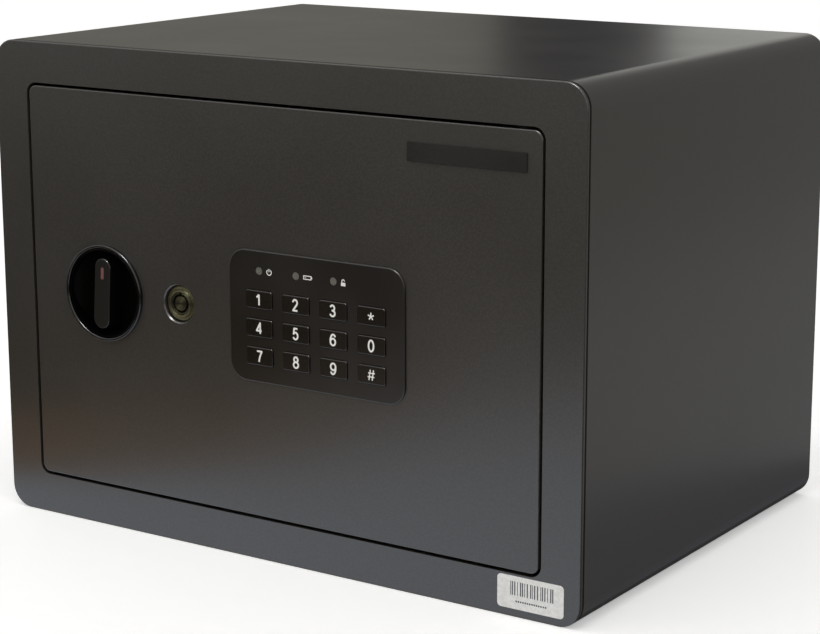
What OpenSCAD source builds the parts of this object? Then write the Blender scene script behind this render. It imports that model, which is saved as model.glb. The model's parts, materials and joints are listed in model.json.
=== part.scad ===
/* [Cabinet] */
// Width of the cabinet, side to side
cabinet_w = 350; // [340:5:400]
// Height of the cabinet
cabinet_h = 250; // [240:5:320]
// Depth of the cabinet, front plate to back panel
cabinet_d = 250; // [200:5:350]
// Outer radius of the four long edges
edge_r = 12; // [8:1:16]
// Thickness of the folded sheet body
wall_t = 2; // [1.5:0.1:3]
// Thickness of the back panel
back_t = 2; // [1.5:0.1:3]
// Thickness of the front frame plate
frame_t = 3; // [2.6:0.1:3.2]
// Border of the front frame round the door opening
frame_border = 21; // [20:0.5:26]
// Corner radius of the door opening
opening_r = 6; // [5:0.5:9]
// Rounding of the front rim of the frame
frame_rim = 0.7; // [0.4:0.1:1.2]
// Thickness of the felt mat on the floor
mat_t = 2; // [1:0.5:4]

/* [Fixing holes] */
// Diameter of the fixing holes in the floor and the back
fix_hole_d = 10; // [6:0.5:14]
// Distance between the two holes in the floor
floor_hole_pitch = 200; // [120:10:240]
// Distance between the two holes in the back
back_hole_pitch = 200; // [120:10:240]

/* [Door] */
// Gap between the door and the frame
door_gap = 1.5; // [1.3:0.1:2]
// Thickness of the door plate
door_t = 4; // [3:0.1:4.5]
// Rounding of the rim of the door
door_rim = 0.6; // [0.4:0.1:1]
// Depth of the sheet case behind the door plate
case_depth = 36; // [34:1:44]
// Thickness of the case sheet and its cover
case_t = 1.2; // [0.8:0.1:1.6]
// Distance of the hinge pins from the hinge edge of the door
hinge_inset = 13; // [12:0.5:14]
// Distance of the hinge pins behind the front face
hinge_set_back = 8; // [7.8:0.1:8.2]
// Diameter of the hinge pins
pin_d = 6; // [5:0.5:6]

/* [Knob] */
// Outer diameter of the knob's fixed ring
ring_d = 50; // [49:0.5:54]
// Height of the ring above the door
ring_proud = 2; // [1.6:0.1:3]
// Length of the grip bar
bar_l = 36.6; // [30:0.2:38]
// Width of the grip bar at its face
bar_w = 10.3; // [8:0.1:12]
// Height of the grip bar above the door
bar_proud = 2.7; // [2:0.1:6]
// Depth of the finger wells below the door face
well_depth = 6; // [4:0.1:6.5]
// Lean of the bar from upright when the bolts are drawn, in degrees
bar_lean = 4; // [0:1:6]

/* [Bolt work] */
// Diameter of the two locking bolts
bolt_d = 18; // [14:0.5:19]
// Height of the bolts above and below the knob
bolt_spread = 45; // [42:1:52]
// Radius at which the crank pin runs
crank_r = 12; // [11:0.5:12.5]
// Diameter of the crank pin
crank_pin_d = 5; // [4:0.5:5]
// Thickness of the sliding carriage plate
carriage_t = 2; // [1.5:0.1:2.5]
// Stroke of the solenoid plunger
plunger_stroke = 5; // [3:0.5:6]

/* [Key lock] */
// Diameter of the lock barrel
barrel_d = 18; // [17:0.5:20]
// Length of the lock barrel
barrel_l = 18; // [17:0.5:22]
// Diameter of the turning plug
plug_d = 11.7; // [10.5:0.1:12]

/* [Keypad] */
// Width of the keypad
keypad_w = 103.3; // [100:0.1:106]
// Height of the keypad
keypad_h = 65.6; // [63:0.1:70]
// Corner radius of the keypad
keypad_r = 9.5; // [7:0.5:12]
// Height of the keypad above the door
keypad_proud = 1; // [0.8:0.1:2]
// Distance between the columns of keys
column_pitch = 22.1; // [20:0.1:22.5]
// Distance between the rows of keys
row_pitch = 14.15; // [13:0.05:14.5]
// Width of a key
key_w = 16; // [14:0.1:17]
// Height of a key
key_h = 9; // [8:0.1:10]
// Travel of a key
key_travel = 0.8; // [0.5:0.1:1]
// Diameter of the status lamps
lamp_d = 3.8; // [3:0.1:4.4]

/* [Batteries] */
// Diameter of a cell
cell_d = 14.2; // [13.8:0.1:14.5]
// Length of a cell
cell_l = 50; // [48:0.5:51]
// Number of cells
cell_count = 4; // [3:1:4]

/* [Strip and sticker] */
// Width of the bare strip on the door
badge_w = 64; // [40:1:70]
// Height of the bare strip on the door
badge_h = 9.3; // [6:0.1:12]
// Width of the blank sticker
sticker_w = 35.5; // [20:0.5:36]
// Height of the blank sticker
sticker_h = 16; // [8:0.5:16]

/* [Hidden] */
$fn = 64;

// Clearances: seated pieces, running fits, sliding pieces, and turning pieces in moulded bores
seat_gap = 0.1;
running_gap = 0.05;
slide_gap = 0.6;
turn_gap = 0.4;
// How far every cut runs past its solid
over = 1;

// Opening and door
opening_w = cabinet_w - 2 * frame_border;
opening_h = cabinet_h - 2 * frame_border;
door_w = opening_w - 2 * door_gap;
door_h = opening_h - 2 * door_gap;
door_r = opening_r - door_gap;
middle_z = cabinet_h / 2;
seam_share = 0.5;
seam_w = frame_t * seam_share;
seam_depth_share = 0.6;
seam_depth = wall_t * seam_depth_share;
door_low_z = middle_z - door_h / 2;
opening_low_z = middle_z - opening_h / 2;
door_left_x = -door_w / 2;
pin_x = door_w / 2 - hinge_inset;
pin_r = pin_d / 2;

// Case behind the door plate
case_left_inset = 6.5;
case_hinge_inset = 26.5;
case_end_inset = 10.5;
case_r = 3;
case_w = door_w - case_left_inset - case_hinge_inset;
case_h = door_h - 2 * case_end_inset;
case_left_x = door_left_x + case_left_inset;
case_x = case_left_x + case_w / 2;
case_right_x = case_left_x + case_w;
case_back = door_t + case_depth;
cover_back = case_back + case_t;

// Hinge brackets on the cabinet, lugs on the door
bracket_t = 3;
bracket_w = 24;
bracket_drop = 1;
bracket_tail = 9;
bracket_floor_gap = 3;
lug_t = 3;
lug_w = 20;
lug_tail = 8;
lug_flange_t = 2.5;
lug_flange_h = 12;
hinge_float = 0.2;
pin_end = 2;
washer_front_gap = 0.5;
bracket_top_z = opening_low_z - bracket_drop;
washer_r = hinge_set_back - frame_t - washer_front_gap;

// Knob: heights are depths behind the door's front face
fittings_drop = 0.6;
fittings_z = middle_z - fittings_drop;
knob_edge_gap = 47.5;
knob_x = door_left_x + knob_edge_gap;
ring_r = ring_d / 2;
ring_w = 1.7;
ring_round = 0.7;
bezel_bore_r = ring_r - ring_w;
bezel_skirt_t = 0.8;
bezel_floor_t = 1.2;
bezel_gap = 0.3;
knob_r = bezel_bore_r - turn_gap;
knob_wall = 0.9;
knob_proud = 1.4;
knob_round = 0.4;
knob_floor_t = 1.2;
knob_hub_r = 5.8;
bar_draft = 2.45;
bar_round = 0.7;
index_w = 1.8;
index_l = 6;
index_r = 0.5;
index_t = 0.6;
index_top_gap = 4.7;
index_gap = 0.05;
pocket_r = knob_r - knob_wall;
bar_half = bar_w / 2;
bar_base_half = bar_half + bar_draft;
well_rim_depth = 0.6;
well_rise = well_depth - well_rim_depth;
knob_back = well_depth + knob_floor_t;
bezel_floor_front = knob_back + bezel_gap;
bezel_back = bezel_floor_front + bezel_floor_t;

// Crank, carriage and bolts
crank_front = bezel_back + seat_gap;
crank_t = 1.8;
crank_hub_r = 8;
crank_eye_r = 4.5;
crank_pin_r = crank_pin_d / 2;
crank_rest_angle = 45;
crank_back = crank_front + crank_t;
small_head_r = 3.5;
small_head_h = 1.6;
small_shank_r = 1.4;
knob_screw_l = 8;
carriage_front = crank_back + small_head_h + slide_gap;
carriage_back = carriage_front + carriage_t;
pin_past = 1;
bolt_r = bolt_d / 2;
bolt_head_r = 4;
bolt_head_h = 2.8;
bolt_shank_r = 2.4;
bolt_screw_l = 14;
bolt_depth = carriage_back + bolt_head_r + slide_gap;
throw = 2 * crank_r * sin(crank_rest_angle);
tip_past_case = 0.5;
tip_chamfer = 1.5;
ear_t = 2.5;
ear_h = 20;
bolt_tip_x = case_left_x - tip_past_case;
bolt_l = 46;
ear_left_x = bolt_tip_x + bolt_l;
ear_right_x = ear_left_x + ear_t;
slot_gap = 0.5;
slot_end_gap = 0.8;
guide_r = 2.5;
guide_shoulder_r = 4.5;
guide_offset_x = 6;
guide_x = ear_right_x + guide_offset_x;
guide_spread = 34;
guide_past = 2.2;
clip_r = 5;
clip_t = 0.8;
plate_margin = 4;
plate_half_h = bolt_spread + ear_h / 2;
plate_right_x = guide_x + throw + guide_r + slot_gap + plate_margin;
tongue_half_h = 24;
tongue_w = 8;
arm_share = 0.163;
arm_top = case_h * arm_share;
arm_h = 10;
arm_low = arm_top - arm_h;
notch_gap = 0.6;
bush_t = 2;
bush_l = 6;
bush_flange_t = 1.5;
bush_flange_w = 2;
bush_gap = 0.15;
bush_r = bolt_r + bush_gap + bush_t;

// Striker behind the left leg of the frame
striker_t = 2;
striker_end_gap = 9;
striker_side_gap = 1;
striker_back = bolt_depth - bolt_r - 0.5 * slide_gap;
stop_w = 5;
stop_h = 16;
stop_t = 2;
stop_end_gap = 6;
stop_gap = 0.3;

// Key lock
lock_knob_gap = 48.5;
lock_x = knob_x + lock_knob_gap;
barrel_r = barrel_d / 2;
barrel_recess = 1;
barrel_chamfer = 0.5;
barrel_hole_gap = 0.5;
barrel_shoulder_w = 2.5;
barrel_shoulder_t = 2.5;
lock_hole_r = barrel_r + barrel_hole_gap;
lock_hole_rim = 0.6;
plug_r = plug_d / 2;
plug_recess = 1.3;
plug_chamfer = 0.5;
keyway_depth = 6;
keyway_w = 1.3;
keyway_rim = 0.95;
lip_w = 1.3;
lip_step = 0.8;
lip_slope = 0.3;
lip_r = plug_r + running_gap + lip_w;
key_notch_w = 1.4;
cam_t = 2;
cam_w = 9;
cam_arm_gap = 0.5;
cam_l = arm_top - cam_arm_gap;
plug_tail_r = 3;
barrel_back = barrel_recess + barrel_l;
cam_front = barrel_back + seat_gap;
cam_back = cam_front + cam_t;
strap_t = 1.5;
strap_w = 20;
strap_foot = 6;

// Solenoid over the lock
plunger_r = 3;
plunger_depth = carriage_front + carriage_t / 2;
plunger_tip = arm_top + slide_gap;
collar_low = arm_top + plunger_stroke + slide_gap;
collar_t = 1.6;
collar_r = 5;
peg_r = 0.7;
coil_low_share = 0.261;
coil_low = case_h * coil_low_share;
coil_h_share = 0.163;
coil_h = case_h * coil_h_share;
coil_r = 7.5;
coil_bore_gap = 0.4;
yoke_t = 1.6;
yoke_w = 18;
yoke_tail = 8.5;
plunger_share = 0.58;
plunger_top = coil_low + coil_h * plunger_share;
spring_wire = 0.8;
spring_turns = 5;
spring_r = plunger_r + spring_wire;
spring_gap = 0.2;

// Keypad
keypad_lock_gap = 33.1;
keypad_x = lock_x + keypad_lock_gap + keypad_w / 2;
housing_side = 3.2;
housing_w = keypad_w - 2 * housing_side;
housing_h = keypad_h - 2 * housing_side;
housing_r = keypad_r - housing_side;
housing_wall = 2;
housing_back = 11;
face_t = 2;
face_back = face_t - keypad_proud;
keypad_round = 0.6;
housing_gap = 0.3;
hook_w = 12;
hook_out = 1.5;
hook_l = 4;
hook_x = 26;
key_shift_x = -0.25;
key_shift_z = -5.5;
lamp_row = 22.8;
key_r = 1.2;
key_round = 0.5;
key_proud = 0.6;
key_flange = 1;
key_flange_t = 0.8;
window_gap = 0.25;
window_r = key_r + window_gap;
key_rest = face_back + seat_gap;
key_back = key_rest + key_flange_t;
dome_r = 3;
dome_h = 0.4;
mat_sheet_t = 0.8;
dome_front = key_back + key_travel + seat_gap;
pad_front = dome_front + dome_h;
board_front = pad_front + mat_sheet_t;
board_t = 1.6;
board_back = board_front + board_t;
post_r = 1.6;
post_inset_x = 2;
post_inset_z = 4;
pad_post_gap = 0.5;
lamp_r = lamp_d / 2;
lamp_recess = 0.1;
lamp_flange = 0.5;
lamp_flange_t = 1;
buzzer_r = 6;
buzzer_h = 4;
buzzer_shift = 30;
back_plate_t = 1.5;

// Battery holder
cell_gap = 0.6;
cell_pitch = cell_d + cell_gap;
holder_wall = 2;
spring_side = 4;
contact_t = 0.5;
contact_side = 7;
holder_w = cell_l + spring_side + 2 * contact_t + 2 * holder_wall;
holder_h = cell_count * cell_pitch + 2 * holder_wall;
holder_inset_x = 16;
holder_inset_z = 14;
holder_x = case_right_x - holder_inset_x - holder_w / 2;
holder_z = middle_z + case_h / 2 - holder_inset_z - holder_h / 2;
cell_depth = case_back - cell_d / 2 - cell_gap;
holder_front = cell_depth - cell_d / 2 - seat_gap - holder_wall;
bezel_border = 5;
rail_lip = 2.6;
lip_t = 1;
lid_t = 2;
lid_gap = 0.1;
lid_side_gap = 0.3;
slot_floor_t = 1.2;
slot_front = cover_back + slot_floor_t;
slot_back = slot_front + lid_t + 2 * lid_gap;
rail_back = slot_back + lip_t;
lid_w = holder_w + 2 * (bezel_border - rail_lip) - 2 * lid_side_gap;
lid_h = holder_h + bezel_border - lid_side_gap;
rib_w = 24;
rib_h = 1.6;
rib_pitch = 4;
rib_count = 5;
cell_button_r = 2.75;
cell_button_l = 1.2;
contact_coils = 3;
contact_wire = 0.7;

// Reset switch on the rear cover
reset_x_gap = 26;
reset_z_gap = 27;
reset_x = case_right_x - reset_x_gap;
reset_z = middle_z - case_h / 2 + reset_z_gap;
reset_r = 2.4;
reset_box = 12;
reset_box_t = 6;
reset_travel = 1;
reset_proud = 1.5;
reset_l = 6;

// Cover screws in the corners of the case
tab = 12;
screw_inset = 6;
screw_r = 1.5;
screw_head_r = 3.2;
screw_head_h = 1.8;
recess_l = 3.6;
recess_w = 0.9;
recess_depth = 1;
screw_l = 7;

// Small trim
badge_t = 0.6;
badge_r = 0.8;
badge_side_gap = 7.65;
badge_top_gap = 10.2;
sticker_t = 0.15;
sticker_r = 2;
sticker_side_gap = 8.8;
sticker_low_gap = 4;
mat_front = 18;
mat_side = 1;
mat_hole_border = 4;

// Y of a depth measured back from the front face
function at_depth(depth) = depth - cabinet_d / 2;

// Points of an arc about a centre
function arc(centre, r, from, to, steps = 6) =
    [for (i = [0:steps]) centre + r * [cos(from + (to - from) * i / steps), sin(from + (to - from) * i / steps)]];

// Rectangle with rounded corners about the origin
module round_rect(w, h, r) {
    square([w - 2 * r, h], center = true);
    square([w, h - 2 * r], center = true);
    for (sx = [-1, 1], sz = [-1, 1])
        translate([sx * (w / 2 - r), sz * (h / 2 - r)]) circle(r = r);
}

// Flat piece drawn in the plane of the door, from one depth back by its thickness
module slab(depth, t) {
    translate([0, at_depth(depth) + t, 0])
        rotate([90, 0, 0]) linear_extrude(height = t) children();
}

// Turned piece whose axis runs back from the door; its section is drawn as radius and depth
module turned(x, z, depth) {
    translate([x, at_depth(depth), z]) rotate([-90, 0, 0]) rotate_extrude() children();
}

// Round bar running back from a depth
module rod_back(x, z, depth, r, l) {
    translate([x, at_depth(depth), z]) rotate([-90, 0, 0]) cylinder(r = r, h = l);
}

// Block from a corner at (x, depth, z)
module block(x, depth, z, size) {
    translate([x, at_depth(depth), z]) cube(size);
}

// Front half of the circle that rounds a rim
module rim_round(rim) {
    intersection() {
        circle(r = rim);
        translate([-rim, -rim]) square([2 * rim, rim]);
    }
}

// Section across a plate whose two front edges are rounded
module rim_section(span, t, rim) {
    translate([rim - span / 2, 0]) square([span - 2 * rim, t]);
    translate([-span / 2, rim]) square([span, t - rim]);
    for (side = [-1, 1]) translate([side * (span / 2 - rim), rim]) rim_round(rim);
}

// Section of a round corner of the same plate
module rim_corner(r, t, rim) {
    square([r - rim, t]);
    translate([0, rim]) square([r, t - rim]);
    translate([r - rim, rim]) rim_round(rim);
}

// Plate with rounded corners and a rounded front rim, its centre at (x, z)
module rimmed_slab(x, z, depth, w, h, r, t, rim) {
    translate([x, at_depth(depth), z]) {
        for (sx = [-1, 1], sz = [-1, 1])
            translate([sx * (w / 2 - r), 0, sz * (h / 2 - r)])
                rotate([-90, 0, 0]) rotate_extrude() rim_corner(r, t, rim);
        translate([0, 0, r - h / 2]) linear_extrude(height = h - 2 * r) rim_section(w, t, rim);
        translate([r - w / 2, 0, 0]) rotate([0, 90, 0])
            linear_extrude(height = w - 2 * r) rim_section(h, t, rim);
    }
}

// The same at the bottom and, turned over, at the top of the cabinet
module both_ends() {
    children();
    translate([0, 0, cabinet_h]) mirror([0, 0, 1]) children();
}

// One unbroken round wire wound along Z; its radius may change from end to end
module coil(r_low, r_high, wire_r, length, turns, sides = 6, steps = 8) {
    rings = turns * steps;
    points = [for (i = [0:rings], j = [0:sides - 1])
        let (
            share = i / rings,
            r = r_low + (r_high - r_low) * share,
            turn = i * 360 / steps,
            tilt = j * 360 / sides
        )
        [
            (r + wire_r * cos(tilt)) * cos(turn),
            (r + wire_r * cos(tilt)) * sin(turn),
            wire_r + (length - 2 * wire_r) * share + wire_r * sin(tilt)
        ]];
    skin = [for (i = [0:rings - 1], j = [0:sides - 1])
        let (k = (j + 1) % sides)
        each [
            [i * sides + j, i * sides + k, (i + 1) * sides + k],
            [i * sides + j, (i + 1) * sides + k, (i + 1) * sides + j]
        ]];
    low_end = [for (j = [sides - 1:-1:0]) j];
    high_end = [for (j = [0:sides - 1]) rings * sides + j];
    polyhedron(points, concat(skin, [low_end, high_end]));
}

// Cabinet

module body_wrap() {
    color("#3a3834") difference() {
        slab(frame_t, cabinet_d - frame_t) translate([0, middle_z]) difference() {
            round_rect(cabinet_w, cabinet_h, edge_r);
            round_rect(cabinet_w - 2 * wall_t, cabinet_h - 2 * wall_t, edge_r - wall_t);
        }
        for (side = [-1, 1])
            translate([side * floor_hole_pitch / 2, 0, -over])
                cylinder(d = fix_hole_d, h = wall_t + 2 * over);
    }
}

// Plate with a narrower step behind it, which leaves a seam all round in front of the wrap
module front_frame() {
    color("#393632") difference() {
        union() {
            rimmed_slab(0, middle_z, 0, cabinet_w, cabinet_h, edge_r, frame_t - seam_w, frame_rim);
            slab(frame_rim, frame_t - frame_rim) translate([0, middle_z])
                round_rect(cabinet_w - 2 * seam_depth, cabinet_h - 2 * seam_depth, edge_r - seam_depth);
        }
        slab(-over, frame_t + 2 * over) translate([0, middle_z]) round_rect(opening_w, opening_h, opening_r);
    }
}

module back_panel() {
    color("#3a3834") slab(cabinet_d - back_t, back_t) translate([0, middle_z]) difference() {
        round_rect(cabinet_w - 2 * wall_t, cabinet_h - 2 * wall_t, edge_r - wall_t);
        for (side = [-1, 1]) translate([side * back_hole_pitch / 2, 0]) circle(d = fix_hole_d);
    }
}

// Angle with its flange on the frame's back; its web's rear edge holds the bolts, its tabs stop the door
module bolt_striker() {
    low = opening_low_z + striker_end_gap;
    tall = opening_h - 2 * striker_end_gap;
    left = wall_t + striker_side_gap - cabinet_w / 2;
    edge = -opening_w / 2;
    color("#3a3834") {
        block(left, frame_t, low, [edge - left, striker_t, tall]);
        block(edge - striker_t, frame_t, low, [striker_t, striker_back - frame_t, tall]);
        for (z = [low + stop_end_gap, low + tall - stop_end_gap - stop_h])
            block(edge - striker_t, door_t + stop_gap, z, [striker_t + stop_w, stop_t, stop_h]);
    }
}

module hinge_brackets() {
    tail = hinge_set_back + bracket_tail - frame_t;
    low = wall_t + bracket_floor_gap;
    color("#3a3834") both_ends() difference() {
        union() {
            block(pin_x - bracket_w / 2, frame_t, bracket_top_z - bracket_t, [bracket_w, tail, bracket_t]);
            block(pin_x - bracket_w / 2, frame_t, low, [bracket_w, bracket_t, bracket_top_z - low]);
        }
        translate([pin_x, at_depth(hinge_set_back), bracket_top_z - bracket_t - pin_end - over])
            cylinder(r = pin_r + running_gap, h = bracket_t + pin_end + 2 * over);
    }
}

module floor_mat() {
    mat_w = cabinet_w - 2 * edge_r - 2 * mat_side;
    color("#26262a") difference() {
        block(-mat_w / 2, mat_front, wall_t, [mat_w, cabinet_d - back_t - mat_side - mat_front, mat_t]);
        for (side = [-1, 1])
            translate([side * floor_hole_pitch / 2, 0, 0])
                cylinder(d = fix_hole_d + 2 * mat_hole_border, h = wall_t + mat_t + over);
    }
}

module info_sticker() {
    x = cabinet_w / 2 - sticker_side_gap - sticker_w / 2;
    color("#eceae4") slab(-sticker_t, sticker_t)
        translate([x, sticker_low_gap + sticker_h / 2]) round_rect(sticker_w, sticker_h, sticker_r);
}

// Door shell

module door_plate() {
    hole_r = bezel_bore_r + bezel_skirt_t + seat_gap;
    color("#383531") difference() {
        rimmed_slab(0, middle_z, 0, door_w, door_h, door_r, door_t, door_rim);
        rod_back(knob_x, fittings_z, -over, hole_r, door_t + 2 * over);
        rod_back(lock_x, fittings_z, -over, lock_hole_r, door_t + 2 * over);
        turned(lock_x, fittings_z, -over) polygon([
            [0, 0], [lock_hole_r + lock_hole_rim + over, 0], [lock_hole_r, lock_hole_rim + over],
            [0, lock_hole_rim + over]
        ]);
        slab(-over, door_t + 2 * over) translate([keypad_x, fittings_z])
            round_rect(housing_w + 2 * housing_gap, housing_h + 2 * housing_gap, housing_r + housing_gap);
    }
}

module case_corners() {
    for (sx = [-1, 1], sz = [-1, 1])
        translate([case_x + sx * (case_w / 2 - screw_inset), middle_z + sz * (case_h / 2 - screw_inset)])
            children();
}

module door_case() {
    color("#55585a") difference() {
        union() {
            slab(door_t, case_depth) translate([case_x, middle_z]) difference() {
                round_rect(case_w, case_h, case_r);
                round_rect(case_w - 2 * case_t, case_h - 2 * case_t, case_r - case_t);
            }
            slab(case_back - case_t, case_t) intersection() {
                translate([case_x, middle_z]) round_rect(case_w, case_h, case_r);
                case_corners() square(tab, center = true);
            }
        }
        slab(door_t, case_depth + over) case_corners() circle(r = screw_r + seat_gap);
        for (side = [-1, 1])
            translate([case_left_x - over, at_depth(bolt_depth), fittings_z + side * bolt_spread])
                rotate([0, 90, 0]) cylinder(r = bush_r + seat_gap, h = case_t + 2 * over);
    }
}

module rear_cover() {
    color("#4a4d4f") slab(case_back, case_t) difference() {
        translate([case_x, middle_z]) round_rect(case_w, case_h, case_r);
        case_corners() circle(r = screw_r + seat_gap);
        translate([holder_x, holder_z])
            square([holder_w + 2 * seat_gap, holder_h + 2 * seat_gap], center = true);
        translate([reset_x, reset_z]) circle(r = reset_r + turn_gap);
    }
}

module cover_screws() {
    color("#b8b8b4") difference() {
        union() {
            slab(cover_back, screw_head_h) case_corners() circle(r = screw_head_r);
            slab(cover_back - screw_l, screw_l) case_corners() circle(r = screw_r);
        }
        slab(cover_back + screw_head_h - recess_depth, recess_depth + over) case_corners()
            for (turn = [0, 90]) rotate(turn) square([recess_l, recess_w], center = true);
    }
}

module hinge_lugs() {
    tail = hinge_set_back + lug_tail - door_t;
    color("#3a3834") both_ends() difference() {
        union() {
            block(pin_x - lug_w / 2, door_t, door_low_z, [lug_w, tail, lug_t]);
            block(pin_x - lug_w / 2, door_t, door_low_z, [lug_w, lug_flange_t, lug_t + lug_flange_h]);
        }
        translate([pin_x, at_depth(hinge_set_back), door_low_z - over])
            cylinder(r = pin_r + running_gap, h = lug_t + over);
    }
}

module hinge_pins() {
    low = bracket_top_z - bracket_t - pin_end;
    color("#c9c9c4") both_ends()
        translate([pin_x, at_depth(hinge_set_back), low]) cylinder(r = pin_r, h = door_low_z + lug_t - low);
}

module hinge_washers() {
    low = bracket_top_z + hinge_float;
    color("#1c1c1a") both_ends() translate([pin_x, at_depth(hinge_set_back), low]) difference() {
        cylinder(r = washer_r, h = door_low_z - low);
        translate([0, 0, -over]) cylinder(r = pin_r + running_gap, h = door_low_z - low + 2 * over);
    }
}

module name_badge() {
    x = door_w / 2 - badge_side_gap - badge_w / 2;
    z = door_low_z + door_h - badge_top_gap - badge_h / 2;
    color("#121212") slab(-badge_t, badge_t) translate([x, z]) round_rect(badge_w, badge_h, badge_r);
}

// Knob

module knob_bezel() {
    lip = ring_w - 2 * ring_round;
    color("#171613") turned(knob_x, fittings_z, -ring_proud) {
        translate([bezel_bore_r, ring_round]) square([ring_w, ring_proud - ring_round]);
        translate([bezel_bore_r + ring_round, 0]) square([lip, ring_proud]);
        for (r = [bezel_bore_r + ring_round, ring_r - ring_round]) translate([r, ring_round]) circle(r = ring_round);
        translate([bezel_bore_r, ring_round]) square([bezel_skirt_t, ring_proud - ring_round + bezel_back]);
        translate([knob_hub_r + turn_gap, ring_proud + bezel_floor_front])
            square([bezel_bore_r + bezel_skirt_t - knob_hub_r - turn_gap, bezel_floor_t]);
    }
}

// Half section of the grip bar from its axis out; depths run back from its face
module bar_half_section() {
    tall = bar_proud + well_depth + knob_floor_t / 2;
    polygon(concat(
        [[0, 0]],
        arc([bar_half - bar_round, bar_round], bar_round, -90, 0),
        [[bar_base_half, bar_proud + well_depth], [bar_base_half, tall], [0, tall]]
    ));
}

module grip_bar() {
    run = bar_l / 2 - bar_half;
    translate([0, -bar_proud, 0]) {
        for (side = [-1, 1])
            translate([0, 0, side * run]) rotate([-90, 0, 0]) rotate_extrude() bar_half_section();
        translate([0, 0, -run]) linear_extrude(height = 2 * run) {
            bar_half_section();
            mirror([1, 0]) bar_half_section();
        }
    }
}

// Space of the finger wells: a round pocket whose floor is deepest along the bar and rises to the rim
module finger_wells() {
    reach = pocket_r - bar_base_half;
    scoop_r = (reach * reach + well_rise * well_rise) / (2 * well_rise);
    intersection() {
        rotate([-90, 0, 0]) translate([0, 0, -knob_proud - over]) cylinder(r = pocket_r, h = knob_back + knob_proud);
        translate([0, 0, -pocket_r - over]) linear_extrude(height = 2 * pocket_r + 2 * over) {
            translate([-bar_base_half, -knob_proud - over])
                square([2 * bar_base_half, knob_proud + over + well_depth]);
            for (side = [-1, 1]) scale([side, 1]) intersection() {
                translate([bar_base_half, well_depth - scoop_r]) circle(r = scoop_r, $fn = 120);
                translate([bar_base_half, -knob_proud - over])
                    square([reach + over, knob_proud + over + well_depth]);
            }
        }
    }
}

// Index inlay, or the pocket for it, from the grip bar's face back
module index_bar(gap, t) {
    translate([0, t - bar_proud, bar_l / 2 - index_top_gap - index_l / 2]) rotate([90, 0, 0])
        linear_extrude(height = t) round_rect(index_w + 2 * gap, index_l + 2 * gap, index_r + gap);
}

module knob_handle() {
    color("#0d0c0a") difference() {
        translate([knob_x, at_depth(0), fittings_z]) rotate([0, bar_lean, 0]) {
            difference() {
                rotate([-90, 0, 0]) rotate_extrude() {
                    translate([0, -knob_proud]) rim_corner(knob_r, knob_back + knob_proud, knob_round);
                    square([knob_hub_r, crank_front]);
                }
                finger_wells();
            }
            difference() {
                grip_bar();
                translate([0, -over, 0]) index_bar(index_gap, index_t + over);
            }
        }
        rod_back(knob_x, fittings_z, crank_back - knob_screw_l - seat_gap, small_shank_r + seat_gap, knob_screw_l);
    }
}

module knob_index() {
    color("#a8504a") translate([knob_x, at_depth(0), fittings_z]) rotate([0, bar_lean, 0]) index_bar(0, index_t);
}

function crank_pin_x() = knob_x + crank_r * sin(crank_rest_angle);
function crank_pin_z() = fittings_z + crank_r * cos(crank_rest_angle);

module knob_crank() {
    color("#a9a79c") difference() {
        union() {
            slab(crank_front, crank_t) {
                translate([knob_x, fittings_z]) {
                    circle(r = crank_hub_r);
                    rotate(crank_rest_angle) translate([0, -crank_eye_r]) square([crank_r, 2 * crank_eye_r]);
                }
                translate([crank_pin_x(), crank_pin_z()]) circle(r = crank_eye_r);
            }
            rod_back(crank_pin_x(), crank_pin_z(), crank_front, crank_pin_r, carriage_back + pin_past - crank_front);
        }
        rod_back(knob_x, fittings_z, crank_front - over, small_shank_r + seat_gap, crank_t + 2 * over);
    }
}

// Small screw with its head behind a depth and its shank running forward
module small_screw(x, z, depth, l) {
    rod_back(x, z, depth, small_head_r, small_head_h);
    rod_back(x, z, depth - l, small_shank_r, l);
}

module knob_screw() {
    color("#c4c2b8") small_screw(knob_x, fittings_z, crank_back, knob_screw_l);
}

// Bolt work

// Slot along X whose two round ends lie at x and x + run
module long_slot(x, z, run, r) {
    translate([x, z]) circle(r = r);
    translate([x + run, z]) circle(r = r);
    translate([x, z - r]) square([run, 2 * r]);
}

module carriage_plate() {
    pin_high = crank_r + crank_pin_r + slot_end_gap;
    pin_low = crank_r * cos(crank_rest_angle) - crank_pin_r - slot_end_gap;
    notch_half = plunger_r + notch_gap;
    arm_end_x = lock_x + throw + notch_half + plate_margin;
    difference() {
        union() {
            translate([ear_left_x, fittings_z - plate_half_h])
                square([plate_right_x - ear_left_x, 2 * plate_half_h]);
            translate([ear_left_x - tongue_w, fittings_z - tongue_half_h])
                square([tongue_w + ear_t, 2 * tongue_half_h]);
            translate([plate_right_x - plate_margin, fittings_z + arm_low])
                square([arm_end_x - plate_right_x + plate_margin, arm_top - arm_low]);
        }
        translate([crank_pin_x() - crank_pin_r - slot_gap, fittings_z + pin_low])
            square([2 * (crank_pin_r + slot_gap), pin_high - pin_low]);
        for (side = [-1, 1]) long_slot(guide_x, fittings_z + side * guide_spread, throw, guide_r + slot_gap);
        for (x = [lock_x, lock_x + throw])
            translate([x - notch_half, fittings_z + arm_top - plunger_stroke])
                square([2 * notch_half, plunger_stroke + over]);
    }
}

module bolt_carriage() {
    ear_depth = bolt_depth + bolt_r - carriage_front;
    color("#b5a766") difference() {
        union() {
            slab(carriage_front, carriage_t) carriage_plate();
            for (side = [-1, 1])
                block(ear_left_x, carriage_front, fittings_z + side * bolt_spread - ear_h / 2, [ear_t, ear_depth, ear_h]);
        }
        for (side = [-1, 1])
            translate([ear_left_x - over, at_depth(bolt_depth), fittings_z + side * bolt_spread])
                rotate([0, 90, 0]) cylinder(r = bolt_shank_r + seat_gap, h = ear_t + 2 * over);
    }
}

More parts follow.
